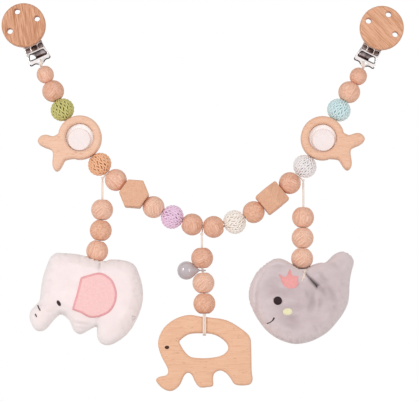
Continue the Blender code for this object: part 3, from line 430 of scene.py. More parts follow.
# The velours' third colour is a painted sheen by the seam, the fourth a painted shade for folds and the
# bead's rest
WHITE_VELOUR = Velour("white_velour", "plush_white")
GREY_VELOUR = Velour("grey_velour", "plush_grey", "#d8c8cb", "#c0afb3", "#e6d7d9", "#3f3338")
PINK_FELT = WoolFelt("pink_felt", "plush_white")
PINK_THREAD = SatinThread("pink_satin_thread", "plush_white", "#ffbcc0")
CORAL_THREAD = SatinThread("coral_satin_thread", "plush_grey", "#ffb3b1")
YELLOW_THREAD = SatinThread("yellow_satin_thread", "plush_grey", "#fffad2")
BROWN_THREAD = SatinThread("dark_brown_satin_thread", "plush_grey", "#2a0b12", 0.7)
INK_THREAD = SatinThread("dark_grey_satin_thread", "plush_white", "#33242a", 0.7)
TAIL_THREAD = SatinThread("pale_grey_satin_thread", "plush_white", "#ece4e4")


class YarnColour(Enum):
    """Yarn of each crocheted cover: slot, lit strand, its shade, and the gaps' shadow."""

    GREEN = ("cotton_green", "#e2df97", "#c1bb6c", "#655c2c")
    TAN = ("cotton_tan", "#ffd3ae", "#f2b386", "#945a38")
    LILAC = ("cotton_lilac", "#ffe5f8", "#eac5e3", "#9a7098")
    CREAM = ("cotton_cream", "#fffcf7", "#fdf3ea", "#c6ae9c")
    GREY = ("cotton_grey", "#fffcfc", "#f0ebec", "#aaa2a8")
    MINT = ("cotton_mint", "#eefcfd", "#caeaee", "#7ea8b3")

    def strand(self) -> CottonYarn:
        """Finish of the lit strands."""
        slot, light, shade, _ = self.value
        return CottonYarn(f"{slot}_strand", slot, light, shade, 0.45)

    def core(self) -> CottonYarn:
        """Finish of the yarn between the strands, painted in the dark of the gaps' shade."""
        slot, _, _, dark = self.value
        return CottonYarn(f"{slot}_gap", slot, dark, dark, 0.8)


class Form:
    """Points and faces of one piece while it is being built, in metres."""

    def __init__(self) -> None:
        """Starts empty."""
        self.points: list[tuple[float, float, float]] = []
        self.faces: list[tuple[int, ...]] = []

    def add(self, points: Iterable, faces: Iterable[Sequence[int]]) -> "Form":
        """Adds points with faces that count from the first of them."""
        start = len(self.points)
        self.points.extend(tuple(p) for p in points)
        self.faces.extend(tuple(start + i for i in face) for face in faces)
        return self

    def lathe(self, profile: Flat, segments: int, closed: bool = False) -> "Form":
        """Turns a profile about Z.

        Args:
            profile: radius and height of each point, in millimetres.
            segments: steps round the axis.
            closed: whether the last point joins the first, as in a bored bead.

        Returns:
            This form.
        """
        points: list[tuple[float, float, float]] = []
        rings: list[list[int]] = []
        for radius, height in profile:
            count = 1 if radius < 1e-6 else segments
            rings.append([len(points) + j % count for j in range(segments)])
            for j in range(count):
                angle = math.tau * j / segments
                points.append(
                    (radius * MM * math.cos(angle), radius * MM * math.sin(angle), height * MM)
                )
        pairs = list(zip(rings, rings[1:])) + ([(rings[-1], rings[0])] if closed else [])
        faces = []
        for low, high in pairs:
            for j in range(segments):
                k = (j + 1) % segments
                face = tuple(dict.fromkeys((low[j], low[k], high[k], high[j])))
                if len(face) > 2:
                    faces.append(face)
        return self.add(points, faces)

    def tube(
        self,
        path: Sequence[Vector],
        radius_mm: float | Sequence[float],
        sides: int,
        closed: bool = False,
        pitch_mm: float = 0.0,
    ) -> "Form":
        """Sweeps a round or three-ply section along a path.

        Args:
            path: points of the centre line, in metres.
            radius_mm: one radius, or one for each point.
            sides: corners of the section.
            closed: whether the path is a loop.
            pitch_mm: length of one turn of the plies' twist, or 0 for a plain round.

        Returns:
            This form.
        """
        line = [Vector(p) for p in path]
        count = len(line)
        radii = [radius_mm] * count if isinstance(radius_mm, (int, float)) else list(radius_mm)
        if closed:
            ways = [(line[(i + 1) % count] - line[i - 1]).normalized() for i in range(count)]
        else:
            padded = [line[0], *line, line[-1]]
            ways = [(after - before).normalized() for before, after in zip(padded, padded[2:])]
        side = ways[0].orthogonal().normalized()
        run, points = 0.0, []
        for i, (at, way) in enumerate(zip(line, ways)):
            if i:
                side = ways[i - 1].rotation_difference(way) @ side
                run += (at - line[i - 1]).length
            up = way.cross(side)
            twist = math.tau * run / (pitch_mm * MM) if pitch_mm else 0.0
            for j in range(sides):
                angle = math.tau * j / sides
                reach = radii[i] * MM
                if pitch_mm:
                    reach *= 0.8 + 0.2 * abs(math.cos(PLIES * (angle - twist) / 2))
                points.append(at + (side * math.cos(angle) + up * math.sin(angle)) * reach)
        faces = []
        for i in range(count if closed else count - 1):
            low, high = i * sides, ((i + 1) % count) * sides
            for j in range(sides):
                k = (j + 1) % sides
                faces.append((low + j, low + k, high + k, high + j))
        if not closed:
            faces.append(tuple(range(sides)))
            faces.append(tuple(range((count - 1) * sides, count * sides)))
        return self.add(points, faces)

    def slab(self, top: Sequence, under: Sequence, faces: Sequence[tuple[int, ...]]) -> "Form":
        """Closes two skins that have the same faces with a wall along each open edge."""
        count = len(top)
        edges = dict.fromkeys(pair for face in faces for pair in zip(face, face[1:] + face[:1]))
        walls = [(a, b, b + count, a + count) for a, b in edges if (b, a) not in edges]
        back = [tuple(i + count for i in reversed(face)) for face in faces]
        return self.add([*top, *under], [*faces, *back, *walls])

    def mesh(self, name: str) -> bpy.types.Mesh:
        """Closes the form as a mesh with its faces turned outwards."""
        mesh = bpy.data.meshes.new(name)
        mesh.from_pydata(self.points, [], self.faces)
        return mended(mesh)


def mended(mesh: bpy.types.Mesh, weld_mm: float = 0.0) -> bpy.types.Mesh:
    """The mesh with its near points joined and its faces turned outwards."""
    bm = bmesh.new()
    bm.from_mesh(mesh)
    if weld_mm:
        bmesh.ops.remove_doubles(bm, verts=bm.verts, dist=weld_mm * MM)
    bmesh.ops.recalc_face_normals(bm, faces=bm.faces)
    bm.to_mesh(mesh)
    bm.free()
    return mesh


def bend(a: Vector, b: Vector, c: Vector, d: Vector, t: float) -> Vector:
    """A point between b and c of the smooth line through four points."""
    line = (c - a) * t + (2 * a - 5 * b + 4 * c - d) * t**2
    return b + (line + (3 * b - a - 3 * c + d) * t**3) / 2


def smooth_loop(points: Flat, cuts: int) -> list[tuple[float, float]]:
    """A closed smooth line through given points, with so many steps between two of them."""
    count = len(points)
    loop = []
    for i in range(count):
        near = [Vector(points[(i + k - 1) % count]) for k in range(4)]
        loop += [tuple(bend(*near, k / cuts)) for k in range(cuts)]
    return loop


def smooth_line(points: Sequence[Vector], step_mm: float) -> list[Vector]:
    """An open smooth line through the points, with one point about every step."""
    padded = [points[0] * 2 - points[1], *points, points[-1] * 2 - points[-2]]
    made = []
    for near in zip(padded, padded[1:], padded[2:], padded[3:]):
        cuts = max(1, round((near[2] - near[1]).length / (step_mm * MM)))
        made += [bend(*near, k / cuts) for k in range(cuts)]
    return made + [points[-1]]


def even_loop(points: Flat, step: float) -> np.ndarray:
    """The same closed outline, with its points evenly spaced about one step apart."""
    closed = np.array(list(points) + [points[0]], float)
    run = np.concatenate([[0], np.cumsum(np.linalg.norm(np.diff(closed, axis=0), axis=1))])
    places = np.linspace(0, run[-1], max(8, round(run[-1] / step)), endpoint=False)
    return np.stack([np.interp(places, run, closed[:, k]) for k in (0, 1)], axis=1)


def arc(centre: tuple[float, float], radius: float, start: float, end: float, steps: int) -> list:
    """Points of an arc, with its ends given in degrees."""
    turns = (math.radians(start + (end - start) * i / steps) for i in range(steps + 1))
    return [(centre[0] + radius * math.cos(t), centre[1] + radius * math.sin(t)) for t in turns]


def mirrored(right: list) -> list:
    """An outline whose left half mirrors its right one."""
    return right + [(-x, z) for x, z in reversed(right)]


def both_faces(front: list) -> list:
    """A turned section whose back mirrors its front."""
    return front + [(x, -z) for x, z in reversed(front)]


def show(name: str, data: bpy.types.ID, matrix: Matrix = Matrix()) -> bpy.types.Object:
    """An object of the scene, at its place in the world."""
    obj = bpy.data.objects.new(name, data)
    bpy.context.scene.collection.objects.link(obj)
    obj.matrix_world = matrix
    return obj


def evaluated(obj: bpy.types.Object) -> bpy.types.Mesh:
    """The mesh of a working object with its modifiers applied, after which it goes."""
    graph = bpy.context.evaluated_depsgraph_get()
    mesh = bpy.data.meshes.new_from_object(obj.evaluated_get(graph))
    mesh.name = obj.name
    bpy.data.objects.remove(obj)
    return mesh


def plate(name: str, loops: Sequence[Flat], thickness: float, edge: float, steps: int) -> bpy.types.Mesh:
    """A flat plate in X and Y with its edges rounded over.

    Args:
        name: name of the mesh.
        loops: the outline and its holes, in millimetres.
        thickness: whole thickness in millimetres.
        edge: radius of the rounded edges in millimetres.
        steps: faces across each rounded edge.

    Returns:
        The mesh, with its middle at height 0.
    """
    curve = bpy.data.curves.new(name, "CURVE")
    curve.dimensions = "2D"
    curve.fill_mode = "BOTH"
    curve.extrude = (thickness / 2 - edge) * MM
    curve.bevel_depth = edge * MM
    curve.bevel_resolution = steps
    curve.offset = -edge * MM
    for loop in loops:
        spline = curve.splines.new("POLY")
        spline.points.add(len(loop) - 1)
        for point, (x, y) in zip(spline.points, loop):
            point.co = (x * MM, y * MM, 0, 1)
        spline.use_cyclic_u = True
    mesh = mended(evaluated(show(name, curve)), 0.005)
    mesh.materials.clear()
    return mesh


def carve(mesh: bpy.types.Mesh, cutters: Sequence[tuple[bpy.types.Mesh, Matrix]]) -> bpy.types.Mesh:
    """Cuts closed meshes, each with its place in the first mesh's own frame, out of it."""
    obj = show(mesh.name, mesh)
    tools = [show("cutter", cutter, matrix) for cutter, matrix in cutters]
    for tool in tools:
        modifier = obj.modifiers.new("cut", "BOOLEAN")
        modifier.operation = "DIFFERENCE"
        modifier.solver = "EXACT"
        modifier.object = tool
    made = evaluated(obj)
    for tool in tools:
        bpy.data.objects.remove(tool)
    return made


def merged(name: str, parts: Sequence[tuple[bpy.types.Mesh, Matrix]]) -> bpy.types.Mesh:
    """One mesh of several, each moved by its matrix."""
    bm = bmesh.new()
    for mesh, matrix in parts:
        copy = mesh.copy()
        copy.transform(matrix)
        bm.from_mesh(copy)
        bpy.data.meshes.remove(copy)
    made = bpy.data.meshes.new(name)
    bm.to_mesh(made)
    bm.free()
    return made


def move(x: float, y: float, z: float) -> Matrix:
    """A shift in millimetres."""
    return Matrix.Translation((x * MM, y * MM, z * MM))


def turn(degrees: float, axis: str = "Y") -> Matrix:
    """A turn about one axis."""
    return Matrix.Rotation(math.radians(degrees), 4, axis)


class Workshop:
    """Puts finished pieces in the scene, in their finish and on their body."""

    def __init__(self) -> None:
        """Starts with no finish made yet."""
        self.made: dict[str, bpy.types.Material] = {}

    def clad(self, mesh: bpy.types.Mesh, finish: Finish) -> None:
        """Gives a mesh its material, which is made once for each finish."""
        if finish.name not in self.made:
            self.made[finish.name] = finish.build()
        mesh.materials.clear()
        mesh.materials.append(self.made[finish.name])

    def put(
        self,
        name: str,
        form: bpy.types.Mesh | Form,
        finish: Finish,
        body: str,
        replaces: Sequence[str] = (),
        matrix: Matrix = Matrix(),
        crease_deg: float = 80.0,
    ) -> bpy.types.Object:
        """Adds one piece.

        Args:
            name: name of the piece.
            form: its mesh, or the form that makes it, in its own frame.
            finish: what it is made of.
            body: body that it rides on.
            replaces: nodes that it stands for.
            matrix: its place in the world.
            crease_deg: angle from which an edge shows sharp.

        Returns:
            The object.
        """
        mesh = form.mesh(name) if isinstance(form, Form) else form
        self.clad(mesh, finish)
        mesh.shade_smooth()
        mesh.set_sharp_from_angle(angle=math.radians(crease_deg))
        obj = show(name, mesh, matrix)
        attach(obj, body)
        if replaces:
            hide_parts(*replaces)
        LOG.info("%s: %d points, on %s", name, len(mesh.vertices), body)
        return obj

    def refinish(self, node: str, finish: Finish) -> None:
        """Gives a node that is carried over its finish."""
        self.clad(frame["nodes"][node].data, finish)
        LOG.info("%s: carried over", node)


@dataclass
class Studio:
    """A pale floor, a white backdrop and soft light round the hanging toy, in millimetres."""

    middle: tuple[float, float, float] = (129.43, 0.0, -124.15)
    frame_width: float = 288.4
    distance: float = 2000.0
    rise_deg: float = 5.0
    soft_box: tuple[float, float] = (280.0, 640.0)
    floor_height: float = -340.0
    floor_radius: float = 820.0

    def add_camera(self) -> None:
        """The camera, a little below the middle of the toy and looking up at it."""
        camera = bpy.data.cameras.new("camera")
        camera.lens = camera.sensor_width * self.distance / self.frame_width
        camera.clip_end = 20
        back = turn(self.rise_deg, "X") @ move(0, -self.distance, 0)
        bpy.context.scene.camera = show("camera", camera, move(*self.middle) @ back @ STAND)

    def add_lamp(self, name: str, place: Sequence[float], watts: float) -> None:
        """A tall soft box that faces the middle of the toy."""
        lamp = bpy.data.lights.new(name, "AREA")
        lamp.shape = "RECTANGLE"
        lamp.size, lamp.size_y = (length * MM for length in self.soft_box)
        lamp.energy = watts
        away = Vector(place) - Vector(self.middle)
        show(name, lamp, move(*place) @ away.to_track_quat("Z", "Y").to_matrix().to_4x4())

    def light_the_room(self) -> None:
        """White where it is seen or mirrored, soft grey where it lights the toy."""
        world = bpy.data.worlds.new("studio")
        world.use_nodes = True
        bpy.context.scene.world = world
        tree = world.node_tree
        tree.nodes.clear()
        path = add_node(tree, "ShaderNodeLightPath")
        seen = path.outputs["Is Camera Ray"]
        for kind in ("Is Glossy Ray", "Is Transmission Ray"):
            both = {0: seen, 1: path.outputs[kind]}
            seen = add_node(tree, "ShaderNodeMath", both, operation="MAXIMUM").outputs[0]
        shades = {0: seen}
        for place, (code, strength) in enumerate((("#fbf7f5", 0.55), ("#ffffff", 1.0)), 1):
            light = {"Color": linear(code), "Strength": strength}
            shades[place] = add_node(tree, "ShaderNodeBackground", light).outputs[0]
        mixed = add_node(tree, "ShaderNodeMixShader", shades).outputs[0]
        add_node(tree, "ShaderNodeOutputWorld", {"Surface": mixed})

    def add_floor(self) -> None:
        """A pale painted floor that keeps the toy's soft shadow."""
        profile = [(0, 0), (self.floor_radius, 0), (self.floor_radius, -4), (0, -4)]
        mesh = Form().lathe(profile, 96).mesh("floor")
        paint = MouldedPlastic("painted_floor", "floor", "#fdfcfb", "#f9f7f6", 0.8)
        mesh.materials.append(paint.build())
        floor = show("floor", mesh, move(self.middle[0], 0, self.floor_height))

    def build(self) -> None:
        """Sets the whole studio up."""
        self.add_camera()
        self.light_the_room()
        self.add_lamp("key", (-700, -950, 90), 5.0)
        self.add_lamp("fill", (860, -1000, -130), 3.5)
        self.add_floor()
        bpy.context.scene.view_settings.view_transform = "Standard"


def heading_of(joint: str) -> float:
    """Direction of the cord through a piece, in degrees from straight down towards +X."""
    way = Vector(JOINTS[joint]["axis"])
    return math.degrees(math.atan2(way.x, -way.z))


def place_of(joint: str) -> Matrix:
    """Where a joint is."""
    return Matrix.Translation(JOINTS[joint]["pos_m"])


def along_cord(joint: str) -> Matrix:
    """The frame of a piece on a cord: its place, and its own Z against the cord's run."""
    return place_of(joint) @ turn(-heading_of(joint))


@dataclass
class BeadMaker:
    """Turned, six-sided and crocheted beads, in millimetres. A size is a length and a
    diameter."""

    shop: Workshop
    bore: float = 2.4
    chamfer: float = 1.0
    small: tuple[float, float] = (11.6, 11.9)
    round: tuple[float, float] = (13.7, 15.2)
    covered: tuple[float, float] = (14.8, 16.6)
    flats: float = 17.8
    width: float = 16.0
    edge: float = 1.2
    corner: float = 1.4
    breadth: float = 1.06
    segments: int = 48
    cover: float = 0.85
    rows: int = 9
    reach_deg: float = 79.0
    stitch: float = 3.1
    strand: float = 0.68
    overlap: float = 1.5
    bulge: float = 0.7
    sink: float = 0.5
    inset: tuple[float, float] = (0.75, 0.35)
    vee: tuple[float, float] = (0.07, 0.36)
    lean: float = 0.05

    def profile(self, length: float, diameter: float, steps: int = 14) -> list:
        """Half section of a bored round bead.

        Args:
            length: size along the cord.
            diameter: size across it.
            steps: faces from one mouth of the bore to the other.

        Returns:
            Radius and height of each point, as a closed outline.
        """
        bore, radius, half = self.bore / 2, diameter / 2, length / 2
        mouth = bore + self.chamfer
        flat = math.sqrt(max(0.0, radius**2 - half**2))
        if flat > mouth + 0.5:
            start = math.degrees(math.acos((flat + 0.15) / radius))
            outside = [(mouth, half), (flat - 0.25, half)]
            outside += arc((0, 0), radius, start, -start, steps)
            outside += [(flat - 0.25, -half), (mouth, -half)]
        else:
            pole = half / math.sqrt(1 - (mouth / radius) ** 2)
            start = math.degrees(math.acos(mouth / radius))
            outside = [(radius * x, pole * z) for x, z in arc((0, 0), 1, start, -start, steps)]
        return outside + [(bore, self.chamfer - half), (bore, half - self.chamfer)]

    def turned(self, name: str, size: tuple[float, float], finish: Finish) -> None:
        """A turned round bead."""
        form = Form().lathe(self.profile(*size), self.segments, True)
        self.shop.put(name, form, finish, f"{name}_body", [name], along_cord(f"{name}_spin"), 50)

    def six_sided(self, name: str, side_on: bool, finish: Finish) -> None:
        """A sawn six-sided bead with all its edges rounded over."""
        reach = (self.flats / 2 - self.corner) / math.cos(math.radians(30))
        hexagon = []
        for i, centre in enumerate(arc((0, 0), reach, 0, 300, 5)):
            hexagon += arc(centre, self.corner, 60 * i - 30, 60 * i + 30, 4)
        hexagon = [(x * self.breadth, z) for x, z in hexagon]
        mesh = plate(name, [hexagon], self.width, self.edge, 4)
        mesh = carve(mesh, [(self.bore_cutter(self.flats / 2), STAND.inverted())])
        matrix = along_cord(f"{name}_spin") @ turn(90 if side_on else 0, "Z") @ STAND
        self.shop.put(name, mesh, finish, f"{name}_body", [name], matrix, 40)

    def bore_cutter(self, half: float) -> bpy.types.Mesh:
        """Cuts a bore with countersunk mouths that lie so far from its middle."""
        bore, mouth = self.bore / 2, self.bore / 2 + self.chamfer + 2
        deep, out = half - self.chamfer, half + 2
        section = [(0, -out), (mouth, -out), (bore, -deep), (bore, deep), (mouth, out), (0, out)]
        return Form().lathe(section, 24).mesh("bore")

    def crocheted(self, name: str, yarn: YarnColour) -> None:
        """A wooden bead in a crocheted cover: rows of V stitches over a core painted in the shade between
        the stitches.
        """
        length, diameter = self.covered
        matrix, body = along_cord(f"{name}_spin"), f"{name}_body"
        inner = self.profile(length - 2 * self.cover, diameter - 2 * self.cover)
        # the core stands for the wooden bead and is painted in the gaps' shade
        core = Form().lathe(inner, 32, True)
        self.shop.put(name, core, yarn.core(), body, [name], matrix, 40)
        across = diameter / 2 - self.inset[0]
        dice = random.Random(name)
        cover = Form()
        step = 2 * self.reach_deg / self.rows
        for row in range(self.rows):
            latitude = step * (row + 0.5) - self.reach_deg
            girth = math.tau * across * math.cos(math.radians(latitude))
            count = max(5, round(girth / self.stitch))
            shift = dice.random()
            for i in range(count):
                for side in (-1, 1):
                    lean = dice.uniform(-self.lean, self.lean)
                    cover.tube(*self.stitch_leg(latitude, i + shift, count, side, lean), 6)
        self.shop.put(f"{name}_cover", cover, yarn.strand(), body, (), matrix)

    def stitch_leg(
        self, latitude: float, place: float, count: int, side: int, lean: float
    ) -> tuple[list[Vector], list[float]]:
        """One leg of a V stitch.

        Args:
            latitude: height of its row on the bead, in degrees.
            place: which stitch of the row it is.
            count: stitches in the row.
            side: -1 for the leg on one side of the V, 1 for the other.
            lean: how far it leans out of line, as a share of a stitch.

        Returns:
            Points of the leg in metres, and its radius at each in millimetres.
        """
        across, pole = (size / 2 - inset for size, inset in zip(reversed(self.covered), self.inset))
        step = 2 * self.reach_deg / self.rows
        foot, splay = self.vee
        points, radii = [], []
        for t in (0.0, 0.2, 0.4, 0.6, 0.8, 1.0):
            phi = math.radians(latitude + (t - 0.5) * step * self.overlap)
            theta = math.tau * (place + side * (foot + splay * t + lean)) / count
            lift = self.bulge * math.sin(math.pi * t) - self.sink
            flat, height = (across + lift) * math.cos(phi), (pole + lift) * math.sin(phi)
            points.append(Vector((flat * math.cos(theta), flat * math.sin(theta), height)) * MM)
            radii.append(self.strand * (0.45 + 0.55 * math.sin(math.pi * (0.1 + 0.8 * t))))
        return points, radii


@dataclass
class WhaleRing:
    """A sawn ring shaped like a whale, with the moulded disc in its hole."""

    shop: Workshop
    radius: float = 15.1
    hole: float = 9.7
    thickness: float = 12.0
    edge: float = 2.1
    natural_bore: float = 36.0
    insert: float = 9.55
    insert_half: float = 4.0
    button: float = 7.7
    button_step: float = 1.6
    button_shift: tuple[float, float] = (-0.3, -1.55)
    tail: Flat = (
        (-1.21, 0.0), (-1.53, 0.06), (-1.77, 0.0), (-1.91, -0.21), (-1.84, -0.37),
        (-1.6, -0.5), (-1.3, -0.6), (-1.2, -0.76), (-1.19, -0.95), (-1.2, -1.24),
        (-1.15, -1.46), (-1.0, -1.58), (-0.84, -1.47), (-0.71, -1.22), (-0.6, -1.05),
    )

    def outline(self) -> list:
        """The ring's outline with its two tail fins, drawn smooth."""
        head = arc((0, 0), self.radius, -104, 172, 40)
        fins = [(x * self.radius, y * self.radius) for x, y in self.tail]
        return even_loop(smooth_loop(head + fins, 3), 0.7).tolist()

    def build(self, name: str, bores: BeadMaker, finish: Finish) -> None:
        """Adds the ring and its disc.

        Args:
            name: name of the ring's node.
            bores: the bead maker, whose bore the ring shares.
            finish: beech of the ring.
        """
        joint, body, node = f"{name}_spin", f"{name}_body", f"{name}_insert"
        heading = heading_of(joint)
        facing_left = heading > 90
        natural = 180 - self.natural_bore if facing_left else self.natural_bore
        stand = turn(180, "Z") @ STAND if facing_left else STAND
        matrix = place_of(joint) @ turn(natural - heading) @ stand
        hole = arc((0, 0), self.hole, 0, 355, 71)
        mesh = plate(name, [self.outline(), hole], self.thickness, self.edge, 4)
        cutter = (bores.bore_cutter(self.radius), matrix.inverted() @ along_cord(joint))
        self.shop.put(name, carve(mesh, [cutter]), finish, body, [name], matrix, 40)
        seat = Form().lathe(self.soft_disc(self.insert, self.insert_half - self.button_step), 72)
        button = Form().lathe(self.soft_disc(self.button, self.insert_half), 72)
        self.shop.put(node, button, PEARL, body, [node], matrix @ move(*self.button_shift, 0), 30)
        # the seat wears a lighter copy of the insert's plastic as painted light
        self.shop.put(f"{node}_seat", seat, PAINTED_LIGHT_PEARL_SEAT, body, (), matrix, 30)

    @staticmethod
    def soft_disc(radius: float, half: float) -> list:
        """Half section of a moulded disc, a little crowned, with soft edges."""
        soft = 0.7
        front = [(0, half), (radius * 0.7, half - 0.03)]
        return both_faces(front + arc((radius - soft, half - 0.08 - soft), soft, 84, 0, 6))


@dataclass
class Clip:
    """One sprung clip: pressed frame, lever, pin, pad and turned disc, in millimetres."""

    shop: Workshop
    side: str
    tilt: float
    pivot_height: float = 31.0
    pivot_depth: float = 4.6
    sheet: float = 0.8
    width: float = 13.6
    foot: float = 15.7
    top: float = 34.4
    pressed_edge: float = 0.34
    window: tuple = ((6.7, 3.9), (5.8, 8.5), 1.1)
    middle_slot: tuple = ((2.0, 9.9), (2.0, 13.0), 0.4)
    side_slot: tuple = ((1.6, 10.0), (1.6, 13.0), 0.4)
    side_slot_shift: float = 4.6
    rim: tuple = ((6.45, 4.15), (5.55, 8.25), 1.1)
    lip_roll: float = 0.42
    rim_roll: float = 0.27
    leaf_half: float = 6.3
    leaf_span: tuple[float, float] = (3.15, 13.9)
    leaf_gauge: float = 0.35
    bow_top: float = 9.6
    bow_span: float = 6.6
    bow_depth: float = 1.5
    notch_depth: float = 4.6
    notch_height: float = 5.4
    notch_half: float = 3.3
    disc_radius: float = 15.2
    disc_thickness: float = 7.0
    disc_edge: float = 1.6
    disc_height: float = 27.2
    stand_off: float = 2.3
    vent_radius: float = 2.0
    vent_circle: float = 10.3

    def face(self) -> bpy.types.Mesh:
        """The front plate: wavy lip, cord hole, window and three slots, all pressed soft."""
        foot, waist = self.foot / 2, self.width / 2
        right = [
            (1.3, -0.9), (1.9, -0.7), (2.5, -0.1), (3.4, 0.45), (4.6, 0.65), (5.8, 0.45),
            (6.8, 0.4), (7.6, 0.85), (foot, 1.6), (foot, 2.5), (7.6, 4.6), (7.2, 7.0),
            (waist, 9.9), (waist, 14.0), (waist, 22.0), (waist, 33.4), (6.5, 34.1), (5.8, self.top),
        ]
        half_hole = arc((1.0, 1.85), 1.2, -90, 90, 8)
        loops = [mirrored(right), mirrored(half_hole)]
        loops += [self.rounded_quad(*hole) for hole in (self.window, self.middle_slot)]
        slot = self.rounded_quad(*self.side_slot)
        for shift in (-self.side_slot_shift, self.side_slot_shift):
            loops.append([(x + shift, z) for x, z in slot])
        return plate("clip_face", loops, self.sheet, self.pressed_edge, 4)

    def leaf(self, inward: int) -> Form:
        """The inner leaf behind the slots and the window, bowed to the back and notched.

        Args:
            inward: 1 where the leaf lies nearer the clip's +X side, -1 for the other.

        Returns:
            The leaf, with its depth along Y and its height along Z.
        """
        rows, across = 28, 20
        half, (low, high) = self.leaf_half, self.leaf_span
        skin = []
        for i in range(rows + 1):
            z = low + (high - low) * i / rows
            share = max(0.0, min(1.0, (self.bow_top - z) / self.bow_span))
            bow = self.bow_depth * math.sin(math.pi * share)
            off = (z - self.notch_height) / self.notch_half
            start = self.notch_depth * math.sqrt(max(0.0, 1 - off**2)) - half
            for k in range(across + 1):
                x = start + (half - start) * k / across
                depth = self.sheet / 2 + 0.05 + bow * (1 - 0.5 * (x / half) ** 2)
                skin.append(Vector((x * inward, depth, z)) * MM)
        step = across + 1
        starts = [i * step + k for i in range(rows) for k in range(across)]
        faces = [(a, a + 1, a + 1 + step, a + step) for a in starts]
        back = [point + Vector((0, self.leaf_gauge, 0)) * MM for point in skin]
        return Form().slab(skin, back, faces)

    def hem(self) -> Form:
        """The rolled edges: the wavy lip on both sides and the rim round the window."""
        wave = (
            (1.9, -0.25), (2.5, 0.25), (3.4, 0.78), (4.6, 0.98), (5.8, 0.8), (6.8, 0.75),
            (7.3, 1.15), (7.45, 1.9),
        )
        front = self.sheet / 2 - 0.12
        form = Form()
        for side in (-1, 1):
            lip = smooth_line([Vector((side * x, -front, z)) * MM for x, z in wave], 0.3)
            form.tube(lip, self.lip_roll, 10)
        rim = even_loop(self.rounded_quad(*self.rim), 0.4)
        return form.tube([Vector((x, -front, z)) * MM for x, z in rim], self.rim_roll, 10, True)

    @staticmethod
    def rounded_quad(low: tuple, high: tuple, corner: float) -> list:
        """A hole with straight sides and round corners, from its right half's ends."""
        right = arc((low[0] - corner, low[1] + corner), corner, -90, 0, 3)
        return mirrored(right + arc((high[0] - corner, high[1] - corner), corner, 0, 90, 3))

    def cheek(self) -> bpy.types.Mesh:
        """One side of the channel, with the round ear that holds the pin."""
        outline = [(0, 14.0), (0.4, 14.0), (1.8, 15.8), (1.8, 27.0)]
        outline += arc((self.pivot_depth, self.pivot_height), 2.0, -50, 110, 12)
        outline += [(0.6, self.top - 0.4), (0, self.top - 0.4)]
        return plate("clip_cheek", [outline], self.sheet, 0.2, 2)

    def build(self) -> None:
        """Adds the frame and the disc, and gives the other parts their finish."""
        pivot = place_of(f"{self.side}_lever_hinge") @ turn(self.tilt)
        bar = pivot @ move(0, self.pivot_depth, -self.pivot_height)
        section = turn(-90, "Z") @ STAND
        out = self.width / 2 - 0.1 - self.sheet / 2
        cheek = self.cheek()
        parts = [(self.face(), STAND)]
        parts += [(cheek, move(side * out, 0, 0) @ section) for side in (-1, 1)]
        node = f"{self.side}_clip_frame"
        self.shop.put(node, merged(node, parts), STEEL, "clips", [node], bar, 30)
        leaf = self.leaf(-1 if self.side == "right" else 1)
        # the leaf wears steel painted darker for the shade behind the window and slots
        self.shop.put(f"{self.side}_clip_leaf", leaf, SHADED_STEEL, "clips", (), bar, 40)
        # the hems wear steel painted dark for the shade along the rolled edges
        self.shop.put(f"{self.side}_clip_hem", self.hem(), PAINTED_SHADE_HEM_STEEL, "clips", (), bar)
        for part, finish in (("pin", STEEL), ("pad", PAD), ("lever", STEEL)):
            self.shop.refinish(f"{self.side}_clip_{part}", finish)
        self.add_disc(bar)

    def add_disc(self, bar: Matrix) -> None:
        """The turned disc with its three holes."""
        half, edge, vent = self.disc_thickness / 2, self.disc_edge, self.vent_radius
        corner = (self.disc_radius - edge, half - edge)
        front = [(0, half), (corner[0] * 0.5, half), *arc(corner, edge, 90, 0, 6)]
        node = f"{self.side}_clip_disc"
        mesh = Form().lathe(both_faces(front), 96).mesh(node)
        drill = [(0, -6), (vent + 3, -6), (vent, 0.5 - half), (vent, half - 0.5), (vent + 3, 6), (0, 6)]
        cutter = Form().lathe(drill, 32).mesh("drill")
        places = arc((0, 0), self.vent_circle, 0, 180, 2)
        mesh = carve(mesh, [(cutter, move(x, y, 0)) for x, y in places])
        forward = self.pivot_depth + self.stand_off + half
        matrix = bar @ move(0, -forward, self.disc_height) @ STAND
        self.shop.put(node, mesh, DISC_BEECH[self.side], f"{self.side}_lever", [node], matrix, 40)


@dataclass(frozen=True)
class HangingCord:
    """A hanging cord with its tie's knot and the points of its route, in millimetres."""

    side: str
    length: float
    knot: tuple[float, float]
    route: Flat


